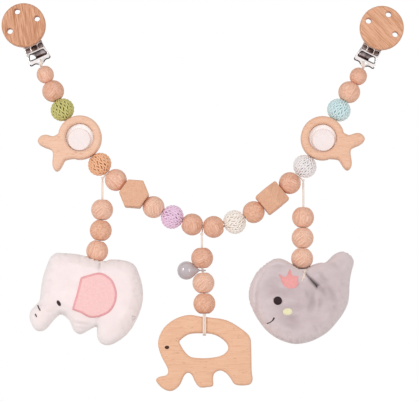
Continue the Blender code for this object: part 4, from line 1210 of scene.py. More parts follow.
@dataclass
class Cordage:
    """Every cotton cord: the string, its end loops, the ties and the hanging cords."""

    shop: Workshop
    diameter: float = 1.5
    loop_radius: float = 2.15
    tie_radius: float = 1.65
    tie_slide: float = 0.4
    strand_shift: float = 0.45
    loop_strand: float = 0.5
    turn_strand: float = 0.48
    arm_strand: float = 0.456
    rail_strand: float = 0.6
    rail_shift: float = 0.58
    rail_curve: float = 2.35
    knot_strand: float = 0.42
    knot_size: tuple[float, float, float] = (0.26, 0.45, 0.42)
    pitch: float = 4.2
    loop_pitch: float = 2.8
    tie_pitch: float = 2.6
    string: Flat = (
        (13.10, -30.25), (13.56, -31.19), (18.56, -41.44), (24.39, -53.93), (31.50, -67.33),
        (48.63, -92.77), (58.88, -104.21), (70.30, -113.93), (85.02, -124.64),
        (96.96, -131.84), (110.80, -138.32), (124.33, -142.25), (139.30, -141.71),
        (153.98, -135.96), (165.80, -128.07), (179.99, -116.61), (190.16, -107.14),
        (200.07, -94.20), (215.46, -67.62), (222.99, -54.58), (229.86, -42.68),
        (235.69, -32.59), (236.21, -31.68),
    )
    hanging: tuple[HangingCord, ...] = (
        HangingCord("left", 59.16, (55.81, -108.47), (
            (55.81, -109.97), (55.81, -114.47), (55.81, -118.97), (55.81, -123.47),
            (55.57, -136.97), (55.52, -137.81), (54.11, -151.24), (53.96, -152.14),
            (50.92, -165.30), (50.16, -168.61),
        )),
        HangingCord("middle", 52.77, (124.49, -147.50), (
            (124.49, -149.00), (124.49, -152.90), (124.49, -156.80), (124.96, -170.29),
            (125.15, -173.99), (126.09, -187.45), (126.13, -188.22), (126.36, -201.72),
        )),
        HangingCord("right", 62.48, (194.53, -110.06), (
            (194.53, -111.56), (194.53, -115.86), (194.53, -120.16), (194.53, -124.46),
            (194.53, -128.76), (194.06, -142.25), (194.04, -142.94), (193.81, -156.44),
            (193.79, -157.13), (193.32, -170.62), (193.20, -174.02),
        )),
    )

    @staticmethod
    def lay(points: Flat) -> list[Vector]:
        """Points in the plane of the string, in metres."""
        return [Vector((x, 0, z)) * MM for x, z in points]

    def add_hanging(self) -> None:
        """The three hanging cords."""
        for cord in self.hanging:
            route = self.lay(cord.route)
            line = [route[0]]
            for low, high in zip(route, route[1:]):
                cuts = max(1, round((high - low).length / (0.45 * MM)))
                line += [low.lerp(high, (k + 1) / cuts) for k in range(cuts)]
            node = f"{cord.side}_pendant_cord"
            form = Form().tube(line, self.diameter / 2, 15, pitch_mm=self.pitch)
            piece = self.shop.put(node, form, CORD, f"{cord.side}_hanging_cord", [node])

    def add_string(self) -> None:
        """The main cord through all the beads, and two turns round each clip's bar."""
        body = "string_cord"
        line = smooth_line(self.lay(self.string), 0.5)
        form = Form().tube(line, self.diameter / 2, 15, pitch_mm=self.pitch)
        self.shop.put("main_cord", form, CORD, body, ["main_cord"])
        for side, (x, z) in (("left", self.string[0]), ("right", self.string[-1])):
            ring = arc((0, z + self.loop_radius), self.loop_radius, -90, 262, 44)
            for letter, shift in (("a", -self.strand_shift), ("b", self.strand_shift)):
                points = [Vector((x + shift, y, h)) * MM for y, h in ring]
                loop = Form().tube(points, self.loop_strand, 12, True, self.loop_pitch)
                self.shop.put(f"{side}_end_loop_{letter}", loop, CORD, body)

    def add_ties(self) -> None:
        """Each tie: two turns round the main cord, the doubled arm, and an overhand knot."""
        steps = 48
        across = Vector((0, 1, 0))
        for cord in self.hanging:
            joint, node = JOINTS[f"{cord.side}_tie_swing"], f"{cord.side}_tie"
            way = Vector(joint["axis"])
            if way.x < 0:
                way = -way
            place = Vector(joint["pos_m"])
            end = self.lay([cord.knot])[0]
            down = (end - place).normalized()
            turns = []
            for i in range(steps + 1):
                angle = 2 * math.tau * i / steps
                slide = way * (i / steps - 0.5) * self.tie_slide
                spoke = (down * math.cos(angle) + across * math.sin(angle)) * self.tie_radius
                turns.append(place + (slide + spoke) * MM)
            form = Form().tube(turns, self.turn_strand, 12, pitch_mm=self.tie_pitch)
            start = place + down * (self.tie_radius * MM)
            for shift in (-self.strand_shift, self.strand_shift):
                arm = [start.lerp(end, k / 8) + across * (shift * MM) for k in range(9)]
                form.tube(arm, self.arm_strand, 12, pitch_mm=self.tie_pitch)
            form.tube(self.knot_round(end), self.knot_strand, 12, True, self.tie_pitch)
            self.shop.put(node, form, CORD, f"{node}_body", [node])

    def knot_round(self, middle: Vector) -> list[Vector]:
        """The strand of an overhand knot, as a trefoil drawn small."""
        width, depth, height = self.knot_size
        line = []
        for t in (math.tau * i / 60 for i in range(60)):
            x, z = math.sin(t) + 1.5 * math.sin(2 * t), math.cos(t) - 1.5 * math.cos(2 * t)
            line.append(middle + Vector((x * width, -math.sin(3 * t) * depth, z * height)) * MM)
        return line

    def add_rail_loop(self, middle: Vector, half_depth: float, half_height: float) -> None:
        """The doubled strand round the wooden elephant's top rail.

        Args:
            middle: centre of the rail, in metres.
            half_depth: reach of the strand's line to the front, in millimetres.
            half_height: its reach up and down, in millimetres.
        """
        curve = self.rail_curve
        y, z = half_depth - curve, half_height - curve
        line: list[tuple[float, float]] = []
        for cy, cz, start in ((y, z, 0), (-y, z, 90), (-y, -z, 180), (y, -z, 270)):
            line += arc((cy, cz), curve, start, start + 90, 8)
        form = Form()
        for shift in (-self.rail_shift, self.rail_shift):
            points = [middle + Vector((shift, a, b)) * MM for a, b in even_loop(line, 0.45)]
            form.tube(points, self.rail_strand, 12, True, self.loop_pitch)
        self.shop.put("rail_loop", form, CORD, "middle_toy", ["rail_loop"])


@dataclass
class WoodenElephant:
    """The sawn elephant with its oval hole and burned eye, in millimetres."""

    shop: Workshop
    width: float = 66.2
    height: float = 51.9
    thickness: float = 12.0
    edge: float = 1.9
    oval: Flat = (
        (-17.0, 3.3), (-12.3, 7.3), (-7.7, 8.6), (-0.5, 8.7), (4.8, 8.3), (10.1, 6.3),
        (14.7, 2.6), (16.4, -1.0), (15.4, -4.0), (11.4, -6.9), (4.8, -8.3), (-1.8, -8.6),
        (-9.0, -7.8), (-13.0, -4.6), (-16.0, 0.0),
    )
    oval_top: float = 8.6
    oval_lift: float = 4.9
    rail: float = 11.6
    eye: tuple[float, float] = (-25.6, 3.6)
    eye_radius: float = 1.25
    place: tuple[float, float] = (126.25, -228.92)
    shares: Flat = (
        (-0.14, 0.5), (-0.05, 0.48), (0.05, 0.467), (0.23, 0.43), (0.39, 0.31), (0.47, 0.21),
        (0.485, 0.08), (0.49, -0.23), (0.5, -0.34), (0.485, -0.4), (0.44, -0.425),
        (0.35, -0.425), (0.305, -0.4), (0.275, -0.34), (0.23, -0.27), (0.17, -0.23),
        (0.11, -0.26), (0.09, -0.33), (0.09, -0.43), (0.03, -0.45), (-0.05, -0.45),
        (-0.1, -0.37), (-0.13, -0.29), (-0.17, -0.26), (-0.21, -0.3), (-0.26, -0.43),
        (-0.34, -0.5), (-0.43, -0.47), (-0.5, -0.37), (-0.47, -0.32), (-0.39, -0.29),
        (-0.38, -0.21), (-0.45, -0.03), (-0.48, 0.13), (-0.44, 0.29), (-0.35, 0.41),
        (-0.24, 0.48),
    )

    def build(self, cords: Cordage) -> None:
        """Adds the elephant, its two eyes and the loop of cord that holds it."""
        shape = [(x * self.width, y * self.height) for x, y in self.shares]
        finger_hole = [(x, self.oval_lift + y) for x, y in self.oval]
        loops = [even_loop(smooth_loop(points, 6), 0.8).tolist() for points in (shape, finger_hole)]
        mesh = plate("wooden_elephant", loops, self.thickness, self.edge, 4)
        x, z = self.place
        matrix = move(x, 0, z) @ STAND
        body, board = "middle_toy", PLATE_BEECH["elephant"]
        self.shop.put("wooden_elephant", mesh, board, body, ["wooden_elephant"], matrix, 40)
        dot = [(0, 0.0), (self.eye_radius * 0.6, 0.04), (self.eye_radius, 0.1)]
        dot += [(self.eye_radius + 0.12, 0.0), (0, -0.6)]
        for name, side, flip in (("front", 1, 0), ("back", -1, 180)):
            at = matrix @ move(*self.eye, side * self.thickness / 2) @ turn(flip, "X")
            at = at @ Matrix.Diagonal((1.15, 0.9, 1, 1))
            self.shop.put(f"elephant_eye_{name}", Form().lathe(dot, 32), SCORCH, body, (), at, 40)
        rail_middle = z + self.oval_lift + self.oval_top + self.rail / 2
        reach = 0.3 + cords.diameter / 2
        middle = Vector((x, 0, rail_middle)) * MM
        cords.add_rail_loop(middle, self.thickness / 2 + reach, self.rail / 2 + reach)


@dataclass
class RattleDrop:
    """The enamelled rattle on the middle cord, in millimetres."""

    shop: Workshop
    radius: float = 6.4
    reach: float = 11.3
    wall: float = 0.8
    eye: float = 1.7
    wire: float = 1.0
    slit: float = 1.3
    slit_top: float = -3.7
    slit_bottom: float = -9.0

    def build(self) -> None:
        """Adds the drop with its slit and eye, and finishes the pellet inside it."""
        tip, neck, inside = self.reach - self.eye, self.wire / 2, self.radius - self.wall
        touch = math.degrees(math.asin(self.radius / tip))
        ball = [*arc((0, 0), self.radius, touch, -90, 26)[:-1], (0.0, -self.radius)]
        profile = [(0, tip), (neck, tip - 0.3), (neck * 1.5, tip - 1.0), *ball]
        mesh = Form().lathe(profile, 56).mesh("rattle_drop")
        hollow = [(0.0, inside), *arc((0, 0), inside, 90, -90, 14)[1:-1], (0.0, -inside)]
        below, top = self.slit_bottom, self.slit_top
        slot = [(-inside, below), (inside, below), (inside, top), (-inside, top)]
        cutters = [(Form().lathe(hollow, 32).mesh("hollow"), Matrix())]
        cutters.append((plate("slit", [slot], self.slit, 0.1, 1), STAND))
        middle, body = place_of("rattle_drop_spin"), "rattle_drop_body"
        at = middle @ move(-self.reach, 0, 0) @ turn(90)
        self.shop.put("rattle_drop", carve(mesh, cutters), ENAMEL, body, ["rattle_drop"], at, 35)
        ring = [Vector((x, y, 0)) * MM for x, y in arc((0, 0), self.eye, 0, 350, 35)]
        eye = Form().tube(ring, self.wire / 2, 14, True)
        self.shop.put("rattle_drop_eye", eye, ENAMEL, body, (), middle, 40)
        self.shop.refinish("drop_pellet", STEEL)


@dataclass(frozen=True)
class Fold:
    """A crease pressed into the front of a plush toy, from its bead, in millimetres."""

    points: Flat
    depth: float
    width: float
    shade: float = 0.0
    opens: bool = False


@dataclass
class PlushToy:
    """A stuffed toy of two velour panels, sewn round its edge, in millimetres."""

    shop: Workshop
    name: str
    body: str
    bead: str
    nodes: tuple[str, ...]
    finish: Finish
    outline: Flat
    folds: tuple[Fold, ...]
    half_depth: float
    fullness: float = 1.06
    roundness: float = 2.6
    film_steps: int = 3400
    gather: float = 0.3
    fine_pucker: tuple[float, float] = (2.6, 0.32)
    broad_pucker: tuple[float, float] = (7.0, 0.38)
    slack: float = 0.03
    # width of the painted sheen along the seam
    painted_sheen_mm: float = 4.5
    step: float = 1.0
    bead_size: tuple[float, float] = (13.7, 15.2)
    clearance: float = 0.2
    thread_pitch: float = 0.42
    seen_from_deg: float = 5.0

    def __post_init__(self) -> None:
        """Finds the middle of the bead that the toy hangs from."""
        self.origin = Vector(JOINTS[f"{self.bead}_spin"]["pos_m"])
        self.tree: BVHTree | None = None

    @staticmethod
    def triangles(rim: np.ndarray, grid: Iterable) -> tuple[list, list, list]:
        """Joins a rim and the points of a grid into triangles that fill the rim.

        Args:
            rim: points of the closed outline.
            grid: points inside it; any outside it are left out.

        Returns:
            The points, the triangles, and for each point the numbers it had at first.
        """
        cloud = [Vector(p) for p in rim] + [Vector(p) for p in grid]
        made = delaunay_2d_cdt(cloud, [], [list(range(len(rim)))], 1, 1e-7)
        return made[0], made[2], made[3]

    def panel(self) -> tuple[np.ndarray, np.ndarray, np.ndarray]:
        """Cuts one panel.

        Returns:
            Its points, its triangles, and which of its points lie on the seam.
        """
        rim = even_loop(smooth_loop(self.outline, 6), self.step * 0.8)
        low, high = rim.min(0), rim.max(0)
        rows = enumerate(np.arange(low[1], high[1], self.step * math.sqrt(3) / 2))
        grid = np.array([
            (x, z)
            for row, z in rows
            for x in np.arange(low[0] + (row % 2) * self.step / 2, high[0], self.step)
        ])
        ahead = np.roll(rim, -1, axis=0)
        x, z = grid[:, :1], grid[:, 1:]
        crosses = (rim[:, 1] > z) != (ahead[:, 1] > z)
        slope = (ahead[:, 0] - rim[:, 0]) / (ahead[:, 1] - rim[:, 1] + 1e-12)
        inside = (crosses & (x < (z - rim[:, 1]) * slope + rim[:, 0])).sum(1) % 2 == 1
        clear = np.sqrt(((grid[:, None] - rim[None]) ** 2).sum(2)).min(1) > self.step * 0.6
        grid = grid[inside & clear]
        verts, faces, origin = self.triangles(rim, grid)
        seam = np.array([any(i < len(rim) for i in ids) for ids in origin])
        return np.array([tuple(v) for v in verts]), np.array(faces), seam

    def stuffing(self, flat: np.ndarray, faces: np.ndarray, seam: np.ndarray) -> np.ndarray:
        """How far the stuffing pushes each point of a panel out, as a film would swell.

        Args:
            flat: points of the panel.
            faces: its triangles.
            seam: which points lie on the seam.

        Returns:
            The height of each point.
        """
        edges = np.concatenate([faces[:, [0, 1]], faces[:, [1, 2]], faces[:, [2, 0]]])
        both = np.unique(np.concatenate([edges, edges[:, ::-1]]), axis=0)
        source, target = both[:, 0], both[:, 1]
        count = np.bincount(source, minlength=len(flat)).clip(1)
        film = np.zeros(len(flat))
        for _ in range(self.film_steps):
            film = np.bincount(source, film[target], len(flat)) / count + self.step**2 / 4
            film[seam] = 0
        share = np.sqrt(4 * film.clip(0)) / self.half_depth
        bound = (1 + share**self.roundness) ** (1 / self.roundness)
        return self.fullness * self.half_depth * share / bound

    def build(self) -> None:
        """Sews, stuffs and seats the toy."""
        flat, faces, seam = self.panel()
        height = self.stuffing(flat, faces, seam)
        points, index = [], {}
        for side in (1, -1):
            for i, (x, z) in enumerate(flat):
                if side < 0 and seam[i]:
                    index[side, i] = index[1, i]
                    continue
                index[side, i] = len(points)
                points.append(Vector((x, -side * height[i], z)))
        triangles = [tuple(index[1, i] for i in face) for face in faces]
        triangles += [tuple(index[-1, i] for i in reversed(face)) for face in faces]
        on_seam = [index[1, i] for i in range(len(flat)) if seam[i]]
        points = self.settled(points, triangles, on_seam)
        # painted shade of the folds and of the bead's rest, for each point
        fold = self.press_folds(points)
        rim = flat[seam]
        self.pucker(points, set(on_seam), rim)
        self.make_room(points, fold)
        mesh = Form().add([p * MM for p in points], triangles).mesh(self.name)
        # painted sheen lightens the cloth near the seam; painted shade darkens it in the folds and under
        # the bead
        near = [math.exp(-((self.to_seam(point, rim) / self.painted_sheen_mm) ** 2)) for point in points]
        for name, values in (("painted_sheen_near_seam", near), ("fold", fold)):
            mesh.attributes.new(name, "FLOAT", "POINT").data.foreach_set("value", values)
        matrix = Matrix.Translation(self.origin)
        obj = self.shop.put(self.name, mesh, self.finish, self.body, self.nodes, matrix, 180)
        corners = [matrix @ v.co for v in mesh.vertices]
        self.tree = BVHTree.FromPolygons(corners, [tuple(p.vertices) for p in mesh.polygons])

    def settled(self, points: list[Vector], triangles: list, held: list[int]) -> list[Vector]:
        """Lets pressure settle the cloth in a simulation, twenty times its real size.

        Args:
            points: points of the stuffed toy.
            triangles: its faces.
            held: points on the seam, which stay in place.

        Returns:
            The settled points, none further than the cap from where it was.
        """
        blow_up, frames, cap = 20, 20, 2.2
        mesh = Form().add([p * (MM * blow_up) for p in points], triangles).mesh("work_cloth")
        work = show("work_cloth", mesh)
        work.vertex_groups.new(name="seam").add(held, 1.0, "REPLACE")
        cloth = work.modifiers.new("cloth", "CLOTH")
        cloth.point_cache.frame_start, cloth.point_cache.frame_end = 1, frames
        cloth.collision_settings.use_collision = False
        for name, value in CLOTH.items():
            setattr(cloth.settings, name, value)
        cloth.settings.shrink_min = -self.slack
        cloth.settings.effector_weights.gravity = 0
        scene = bpy.context.scene
        for number in range(1, frames + 1):
            scene.frame_set(number)
        graph = bpy.context.evaluated_depsgraph_get()
        made = [v.co / (MM * blow_up) for v in work.evaluated_get(graph).data.vertices]
        bpy.data.objects.remove(work)
        scene.frame_set(1)
        moves = [new - old for old, new in zip(points, made)]
        LOG.info("%s: cloth moved %.2f mm at most", self.name, max(m.length for m in moves))
        return [old + m * min(1.0, cap / max(m.length, 1e-9)) for old, m in zip(points, moves)]

    def press_folds(self, points: list[Vector]) -> np.ndarray:
        """Presses the folds into the front, and gives each point the painted shade of the folds."""
        flat = np.array([(p.x, p.z) for p in points])
        front = np.array([p.y < -0.01 for p in points])
        pressed, shade = np.zeros(len(flat)), np.zeros(len(flat))
        for fold in self.folds:
            line = np.array([tuple(p) for p in fold.points], float)
            nearest, run = np.full(len(flat), 1e9), np.zeros(len(flat))
            count = len(line) - 1
            for k in range(count):
                a, b = line[k], line[k + 1]
                t = ((flat - a) @ (b - a) / ((b - a) @ (b - a))).clip(0, 1)
                gap = np.linalg.norm(flat - (a + t[:, None] * (b - a)), axis=1)
                run = np.where(gap < nearest, (k + t) / count, run)
                nearest = np.minimum(nearest, gap)
            if fold.opens:
                fade = np.where(run < 0.97, 0.45 + 0.55 * run, 0.3)
                width = fold.width * (0.45 + 0.75 * run)
            else:
                fade = np.sin(np.pi * (run * 0.8 + 0.1))
                width = np.full(len(flat), fold.width)
            groove = np.exp(-((nearest / width) ** 2)) * fade
            shoulder = np.exp(-(((nearest - 2.1 * width) / width) ** 2)) * fade
            pressed += fold.depth * (groove - 0.28 * shoulder)
            shade = np.maximum(shade, fold.shade * groove)
        for i in np.nonzero(front)[0]:
            depth = -points[i].y
            points[i].y = -max(depth - pressed[i], depth * 0.2)
        return np.where(front, shade, 0.0)

    @staticmethod
    def to_seam(point: Vector, rim: np.ndarray) -> float:
        """How far a point is from the seam, seen from the front."""
        return float(np.linalg.norm(rim - (point.x, point.z), axis=1).min())

    def pucker(self, points: list[Vector], hem: set[int], rim: np.ndarray) -> None:
        """Draws the seam in and gathers the cloth beside it in small folds."""
        middle = Vector(rim.mean(0))
        (fine_size, fine_lift), (broad_size, broad_lift) = self.fine_pucker, self.broad_pucker
        for i, point in enumerate(points):
            gap = self.to_seam(point, rim)
            if i in hem:
                inward = Vector((middle.x - point.x, 0, middle.y - point.z)).normalized()
                point += inward * self.gather
                continue
            fine = noise.noise(Vector((point.x, point.y * 2, point.z)) / fine_size)
            broad = noise.noise(Vector((point.x, point.y, point.z)) / broad_size + Vector((9, 0, 0)))
            lift = fine_lift * fine * math.exp(-gap / 2.6)
            lift += broad_lift * broad * (1 - math.exp(-gap / 3))
            point.y += math.copysign(lift, point.y)

    def make_room(self, points: list[Vector], fold: np.ndarray) -> None:
        """Dents the cloth where the bead above rests in it, and paints the bead's contact shade there."""
        axis = Vector(JOINTS[f"{self.bead}_spin"]["axis"])
        half, radius = (size / 2 + self.clearance for size in self.bead_size)
        for i, point in enumerate(points):
            along = point.dot(axis)
            reach = math.hypot(along / half, (point - axis * along).length / radius)
            # painted shade where the bead rests on the cloth
            if point.z < -1:
                fold[i] = max(fold[i], 0.8 * (1 - (max(reach, 1) - 1) / 0.13))
            if reach < 1:
                point.z = min(point.z, -0.5)
                point *= 1 / max(reach, 0.1)

    def on_front(self, x: float, z: float, lift: float) -> Vector:
        """A point on the toy's front, lifted off the cloth by so much.

        Args:
            x: its place across, from the bead, as seen from the front.
            z: its height from the bead, as seen from a little below.
            lift: distance off the cloth.

        Returns:
            The point, in metres.
        """
        place = self.origin + Vector((x, 0, z)) * MM
        sight = turn(self.seen_from_deg, "X") @ Vector((0, 1, 0))
        hit, normal, _, _ = self.tree.ray_cast(place - sight * (60 * MM), sight)
        if hit is None:
            hit, normal, _, _ = self.tree.find_nearest(place)
        return hit + normal * (lift * MM)

    def add_threads(
        self, part: str, bars: Sequence[tuple], finish: Finish, radius: float, rise: float
    ) -> None:
        """Sews threads on the front.

        Args:
            part: what they are, which names the piece.
            bars: start and end of each thread, from the bead.
            finish: thread that they are sewn with.
            radius: half the width that one thread shows.
            rise: how far its middle stands off the cloth.
        """
        form = Form()
        for (ax, az), (bx, bz) in bars:
            line = []
            for t in (0.0, 0.2, 0.4, 0.6, 0.8, 1.0):
                lift = rise * math.sin(math.pi * t) - 0.12
                line.append(self.on_front(ax + (bx - ax) * t, az + (bz - az) * t, lift))
            form.tube(line, radius, 6)
        self.shop.put(f"{self.name}_{part}", form, finish, self.body)

    def add_patch(self, part: str, outline: Flat, finish: Finish, thickness: float = 0.7) -> None:
        """Lays a cut patch on the front, following the stuffing under it."""
        rim = even_loop(outline, 1.0)
        across, up = (np.arange(rim[:, k].min(), rim[:, k].max(), 1.2) for k in (0, 1))
        verts, faces, _ = self.triangles(rim, [(x, z) for x in across for z in up])
        used = sorted({i for face in faces for i in face})
        number = {i: k for k, i in enumerate(used)}
        top, under = (
            [self.on_front(verts[i].x, verts[i].y, lift) for i in used] for lift in (thickness, -0.2)
        )
        form = Form().slab(top, under, [tuple(number[i] for i in face) for face in faces])
        self.shop.put(f"{self.name}_{part}", form, finish, self.body, crease_deg=60)

    def satin_edge(self, outline: Flat, width: float) -> list[tuple]:
        """Threads across an outline, side by side, as a satin-stitched edge.

        Args:
            outline: line that the stitches cross.
            width: length of each stitch.

        Returns:
            Start and end of each thread.
        """
        line = even_loop(outline, self.thread_pitch)
        way = np.roll(line, -3, axis=0) - np.roll(line, 3, axis=0)
        way /= np.linalg.norm(way, axis=1)[:, None]
        out = np.stack([way[:, 1], -way[:, 0]], axis=1) * width / 2
        return [(tuple(p - o), tuple(p + o)) for p, o in zip(line, out)]

    def satin_fill(self, outline: Flat, direction_deg: float) -> list[tuple]:
        """Threads that fill an outline, laid side by side in one direction.

        Args:
            outline: edge of the embroidered shape.
            direction_deg: way that the threads run, from +X.

        Returns:
            Start and end of each thread.
        """
        angle = math.radians(direction_deg)
        spin = np.array([[math.cos(angle), math.sin(angle)], [-math.sin(angle), math.cos(angle)]])
        loop = np.array(outline, float) @ spin.T
        ahead = np.roll(loop, -1, axis=0)
        bars, pitch = [], self.thread_pitch
        for v in np.arange(loop[:, 1].min() + pitch / 2, loop[:, 1].max(), pitch):
            hits = []
            for (ax, ay), (bx, by) in zip(loop, ahead):
                if (ay > v) != (by > v):
                    hits.append(ax + (v - ay) * (bx - ax) / (by - ay))
            hits.sort()
            for start, end in zip(hits[::2], hits[1::2]):
                ends = np.array([(start, v), (end, v)]) @ spin
                bars.append((tuple(ends[0]), tuple(ends[1])))
        return bars


def oval(centre: tuple[float, float], width: float, height: float, turn_deg: float = 0) -> list:
    """An oval outline: its centre, whole width and height, and turn."""
    c, s = math.cos(math.radians(turn_deg)), math.sin(math.radians(turn_deg))
    loop = []
    for x, z in arc((0, 0), 1, 0, 350, 35):
        x, z = x * width / 2, z * height / 2
        loop.append((centre[0] + x * c - z * s, centre[1] + x * s + z * c))
    return loop


@dataclass
class PlushElephant:
    """The white elephant with its pink ear, embroidered eye and stitches."""

    shop: Workshop
    outline: Flat = (
        (-28.4, -1.2), (-23.3, -1.2), (-15.8, -1.7), (-7.8, -3.2), (4.8, -6.6), (8.8, -5.7),
        (14.5, -5.7), (20.8, -6.8), (25.9, -9.5), (28.8, -15.2), (31.1, -22.6), (31.9, -30.6),
        (31.1, -37.5), (28.8, -44.4), (25.4, -51.2), (20.8, -57.5), (15.1, -62.1), (9.9, -64.7),
        (5.9, -65.1), (2.5, -63.5), (0.5, -60.4), (0.1, -55.2), (-0.1, -52.6), (-3.2, -53.5),
        (-7.2, -55.8), (-10.6, -57.5), (-13.5, -57.2), (-16.4, -54.6), (-17.8, -51.2),
        (-19.3, -48.4), (-21.8, -45.5), (-25.0, -44.0), (-27.8, -45.7), (-31.3, -49.5),
        (-34.1, -52.9), (-36.7, -54.9), (-39.8, -55.5), (-43.0, -54.1), (-45.5, -50.0),
        (-46.7, -45.5), (-45.8, -41.5), (-42.7, -37.5), (-40.1, -34.6), (-39.3, -30.0),
        (-38.7, -24.3), (-37.3, -16.9), (-34.7, -9.5), (-32.4, -4.3),
    )
    ear: Flat = (
        (-9.7, -18.9), (-9.2, -18.5), (-2.9, -16.7), (0.9, -15.8), (4.2, -16.2),
        (9.1, -19.3), (11.8, -24.1), (12.9, -29.5), (11.8, -35.5), (8.6, -40.4),
        (3.7, -43.1), (-1.3, -44.2), (-5.1, -43.8), (-10.0, -41.1), (-14.7, -39.3),
        (-15.0, -38.7), (-12.3, -29.5), (-9.9, -19.7),
    )

    def build(self) -> None:
        """Adds the toy and everything sewn on it."""
        folds = (
            Fold(((-16.4, -49.4), (-10.7, -50.8), (-4.6, -51.2)), 1.1, 0.9, 0.35),
            Fold(((-14.0, -52.8), (-9.5, -53.4), (-6.0, -52.8)), 0.7, 0.8, 0.25),
            Fold(((-25.0, -43.0), (-21.5, -43.6), (-17.5, -47.1)), 0.9, 1.1, 0.2),
            Fold(((-0.2, -51.4), (1.5, -46.8), (2.0, -43.8)), 0.8, 1.2, 0.25),
            Fold(((-41.5, -39.2), (-38.5, -37.8), (-36.0, -37.8)), 0.6, 1.2, 0.2),
            Fold(((1.6, -9.6), (2.0, -12.3), (2.0, -14.8)), 1.1, 1.1, 0.35),
        )
        nodes = tuple(f"plush_elephant_{part}" for part in ("body", "head", "front_leg", "hind_leg"))
        toy = PlushToy(
            self.shop, "plush_elephant", "left_toy", "left_pendant_bead_3", nodes,
            WHITE_VELOUR, self.outline, folds, 13.2,
        )
        toy.build()
        ear = smooth_loop(self.ear, 4)
        toy.add_patch("ear", ear, PINK_FELT)
        eye = toy.satin_fill(oval((-25.6, -35.5), 2.2, 4.0, 28), 28)
        trunk = (((-40.4, -37.2), (-38.4, -40.7)), ((-41.9, -43.0), (-40.9, -44.9)))
        tail = (
            ((24.1, -44.0), (27.0, -45.2)), ((26.8, -45.4), (24.4, -48.0)), ((24.3, -44.6), (24.5, -47.6)),
        )
        ends = (((1.6, -8.0), (1.7, -11.8)), ((2.3, -8.0), (2.1, -11.6)))
        toy.add_threads("ear_edge", toy.satin_edge(ear, 2.2), PINK_THREAD, 0.27, 0.7)
        toy.add_threads("eye", eye, INK_THREAD, 0.26, 0.5)
        toy.add_threads("trunk_stitches", trunk, INK_THREAD, 0.42, 0.4)
        toy.add_threads("tail_stitches", tail, TAIL_THREAD, 0.28, 0.4)
        toy.add_threads("thread_ends", ends, TAIL_THREAD, 0.26, 0.6)


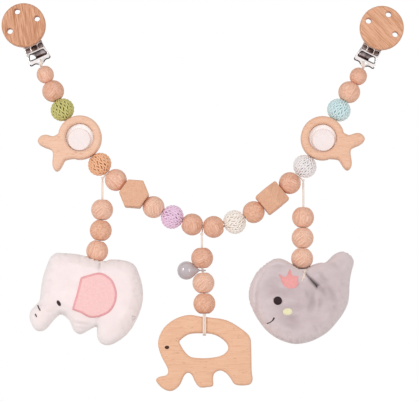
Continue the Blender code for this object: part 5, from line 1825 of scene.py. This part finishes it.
@dataclass
class PlushWhale:
    """The grey whale with its embroidered eye, cheek, mouth and three-pointed spout."""

    shop: Workshop
    outline: Flat = (
        (-22.0, -1.7), (-19.2, -0.1), (-15.2, 0.2), (-11.1, -1.2), (-7.3, -3.4),
        (-3.4, -5.4), (0.0, -6.3), (4.0, -5.6), (8.3, -3.8), (12.7, -2.6), (16.0, -2.6),
        (18.8, -0.3), (21.5, 2.4), (24.8, 4.3), (28.2, 4.9), (32.0, 3.2), (34.7, 0.5),
        (35.8, -3.1), (34.4, -8.6), (33.3, -14.1), (32.8, -19.6), (32.6, -25.1),
        (31.5, -31.7), (28.2, -38.3), (23.7, -44.4), (18.2, -50.4), (11.6, -54.8),
        (4.5, -57.8), (-3.9, -59.2), (-10.6, -58.1), (-17.5, -55.3), (-23.6, -51.0),
        (-28.1, -46.0), (-31.9, -40.0), (-35.2, -33.3), (-37.0, -26.2), (-36.3, -19.6),
        (-34.1, -14.1), (-30.8, -9.1), (-26.4, -4.8),
    )
    spout: Flat = (
        (-16.2, -10.6), (-13.6, -12.2), (-11.4, -12.4), (-8.8, -6.8), (-6.8, -11.6),
        (-3.0, -11.8), (-3.5, -14.4), (-3.1, -17.3), (-5.0, -19.8), (-9.3, -20.4),
        (-12.9, -18.6), (-14.4, -15.7), (-15.1, -12.9),
    )

    def build(self) -> None:
        """Adds the toy and everything sewn on it."""
        folds = (
            Fold(((0.8, -9.4), (3.6, -13.2), (7.0, -17.0), (10.6, -20.6)), 5.0, 1.15, 0.88, True),
            Fold(((10.6, -21.4), (13.6, -22.6), (15.6, -26.0)), 1.3, 1.5, 0.22),
            Fold(((6.4, -23.6), (6.6, -30.5), (4.6, -37.5)), 1.5, 1.9, 0.24),
            Fold(((11.2, -26.4), (12.4, -31.0), (11.3, -36.0)), 1.1, 1.5, 0.16),
            Fold(((2.6, -22.6), (3.3, -25.5), (4.2, -29.0)), 0.9, 1.5, 0.12),
            Fold(((11.0, -9.5), (13.4, -13.4), (17.6, -17.0)), 0.9, 1.3, 0.2),
            Fold(((16.4, -5.0), (21.0, -4.4), (25.0, -8.0)), 0.8, 1.5, 0.15),
            Fold(((15.8, -18.6), (20.6, -25.0), (22.6, -32.0)), 0.8, 1.9, 0.15),
            Fold(((-25.4, -8.6), (-30.8, -17.4), (-32.3, -27.0), (-31.7, -36.4),
                  (-29.2, -44.6), (-21.8, -53.2)), 1.0, 0.9, 0.12),
            Fold(((-23.0, -6.4), (-17.0, -5.4), (-11.0, -6.0)), 0.8, 1.0, 0.15),
            Fold(((-14.8, -45.4), (-8.6, -47.4), (-2.6, -51.0)), 0.7, 1.5, 0.1),
            Fold(((-2.4, -40.0), (-6.0, -41.6), (-11.0, -41.4)), 0.6, 1.2, 0.12),
        )
        nodes = ("plush_whale_body", "plush_whale_tail")
        toy = PlushToy(
            self.shop, "plush_whale", "right_toy", "right_pendant_bead_3", nodes,
            GREY_VELOUR, self.outline, folds, 13.4, slack=0.04, painted_sheen_mm=8.0,
        )
        toy.build()
        spout = toy.satin_fill(self.spout, 74)
        eye = toy.satin_fill(oval((-17.2, -28.6), 5.7, 5.7), 65)
        cheek = toy.satin_fill(oval((-10.5, -36.1), 6.4, 4.6, 4), 90)
        mouth = ((-24.6, -44.4), (-22.4, -43.5), (-20.6, -42.0), (-19.6, -40.2))
        stitches = list(zip(mouth, mouth[1:]))
        ends = (
            ((2.4, -7.4), (0.9, -10.9)), ((1.4, -7.6), (0.0, -12.9)), ((0.6, -7.9), (1.9, -10.2)),
            ((0.9, -10.6), (-0.7, -15.4)), ((1.8, -8.2), (0.9, -13.2)),
        )
        toy.add_threads("eye", eye, BROWN_THREAD, 0.27, 0.7)
        toy.add_threads("cheek", cheek, YELLOW_THREAD, 0.27, 0.5)
        toy.add_threads("spout", spout, CORAL_THREAD, 0.28, 0.5)
        toy.add_threads("mouth", stitches[:2], BROWN_THREAD, 0.34, 0.25)
        toy.add_threads("mouth_end", stitches[2:], BROWN_THREAD, 0.5, 0.25)
        toy.add_threads("thread_ends", ends, CORD, 0.42, 0.5)


def add_beads(shop: Workshop) -> None:
    """Adds every piece that is strung on a cord."""
    maker = BeadMaker(shop)
    strung = sorted(n for n in frame["nodes"] if n.startswith("bead_") or "_bead_" in n)
    for i, name in enumerate(strung):
        board = BOARDS[BOARD_OF.get(name, i * 7 % len(BOARDS))]
        if "_crochet" in name:
            maker.crocheted(name, YarnColour[name.rsplit("_", 1)[1].upper()])
        elif name.endswith("hexagon"):
            maker.six_sided(name, name == "bead_14_hexagon", HEXAGON_BEECH)
        else:
            maker.turned(name, maker.small if name.endswith("small_round") else maker.round, board)
    for name in ("whale_ring_left", "whale_ring_right"):
        WhaleRing(shop).build(name, maker, PLATE_BEECH[name])


def main() -> None:
    """Builds the studio, then the toy from its cords outwards."""
    logging.basicConfig(level=logging.INFO, format="%(message)s")
    shop = Workshop()
    Studio().build()
    cords = Cordage(shop)
    cords.add_hanging()
    cords.add_string()
    cords.add_ties()
    for side, tilt in (("left", -25.0), ("right", 27.0)):
        Clip(shop, side, tilt).build()
    add_beads(shop)
    WoodenElephant(shop).build(cords)
    RattleDrop(shop).build()
    PlushElephant(shop).build()
    PlushWhale(shop).build()


if __name__ == "__main__":
    main()
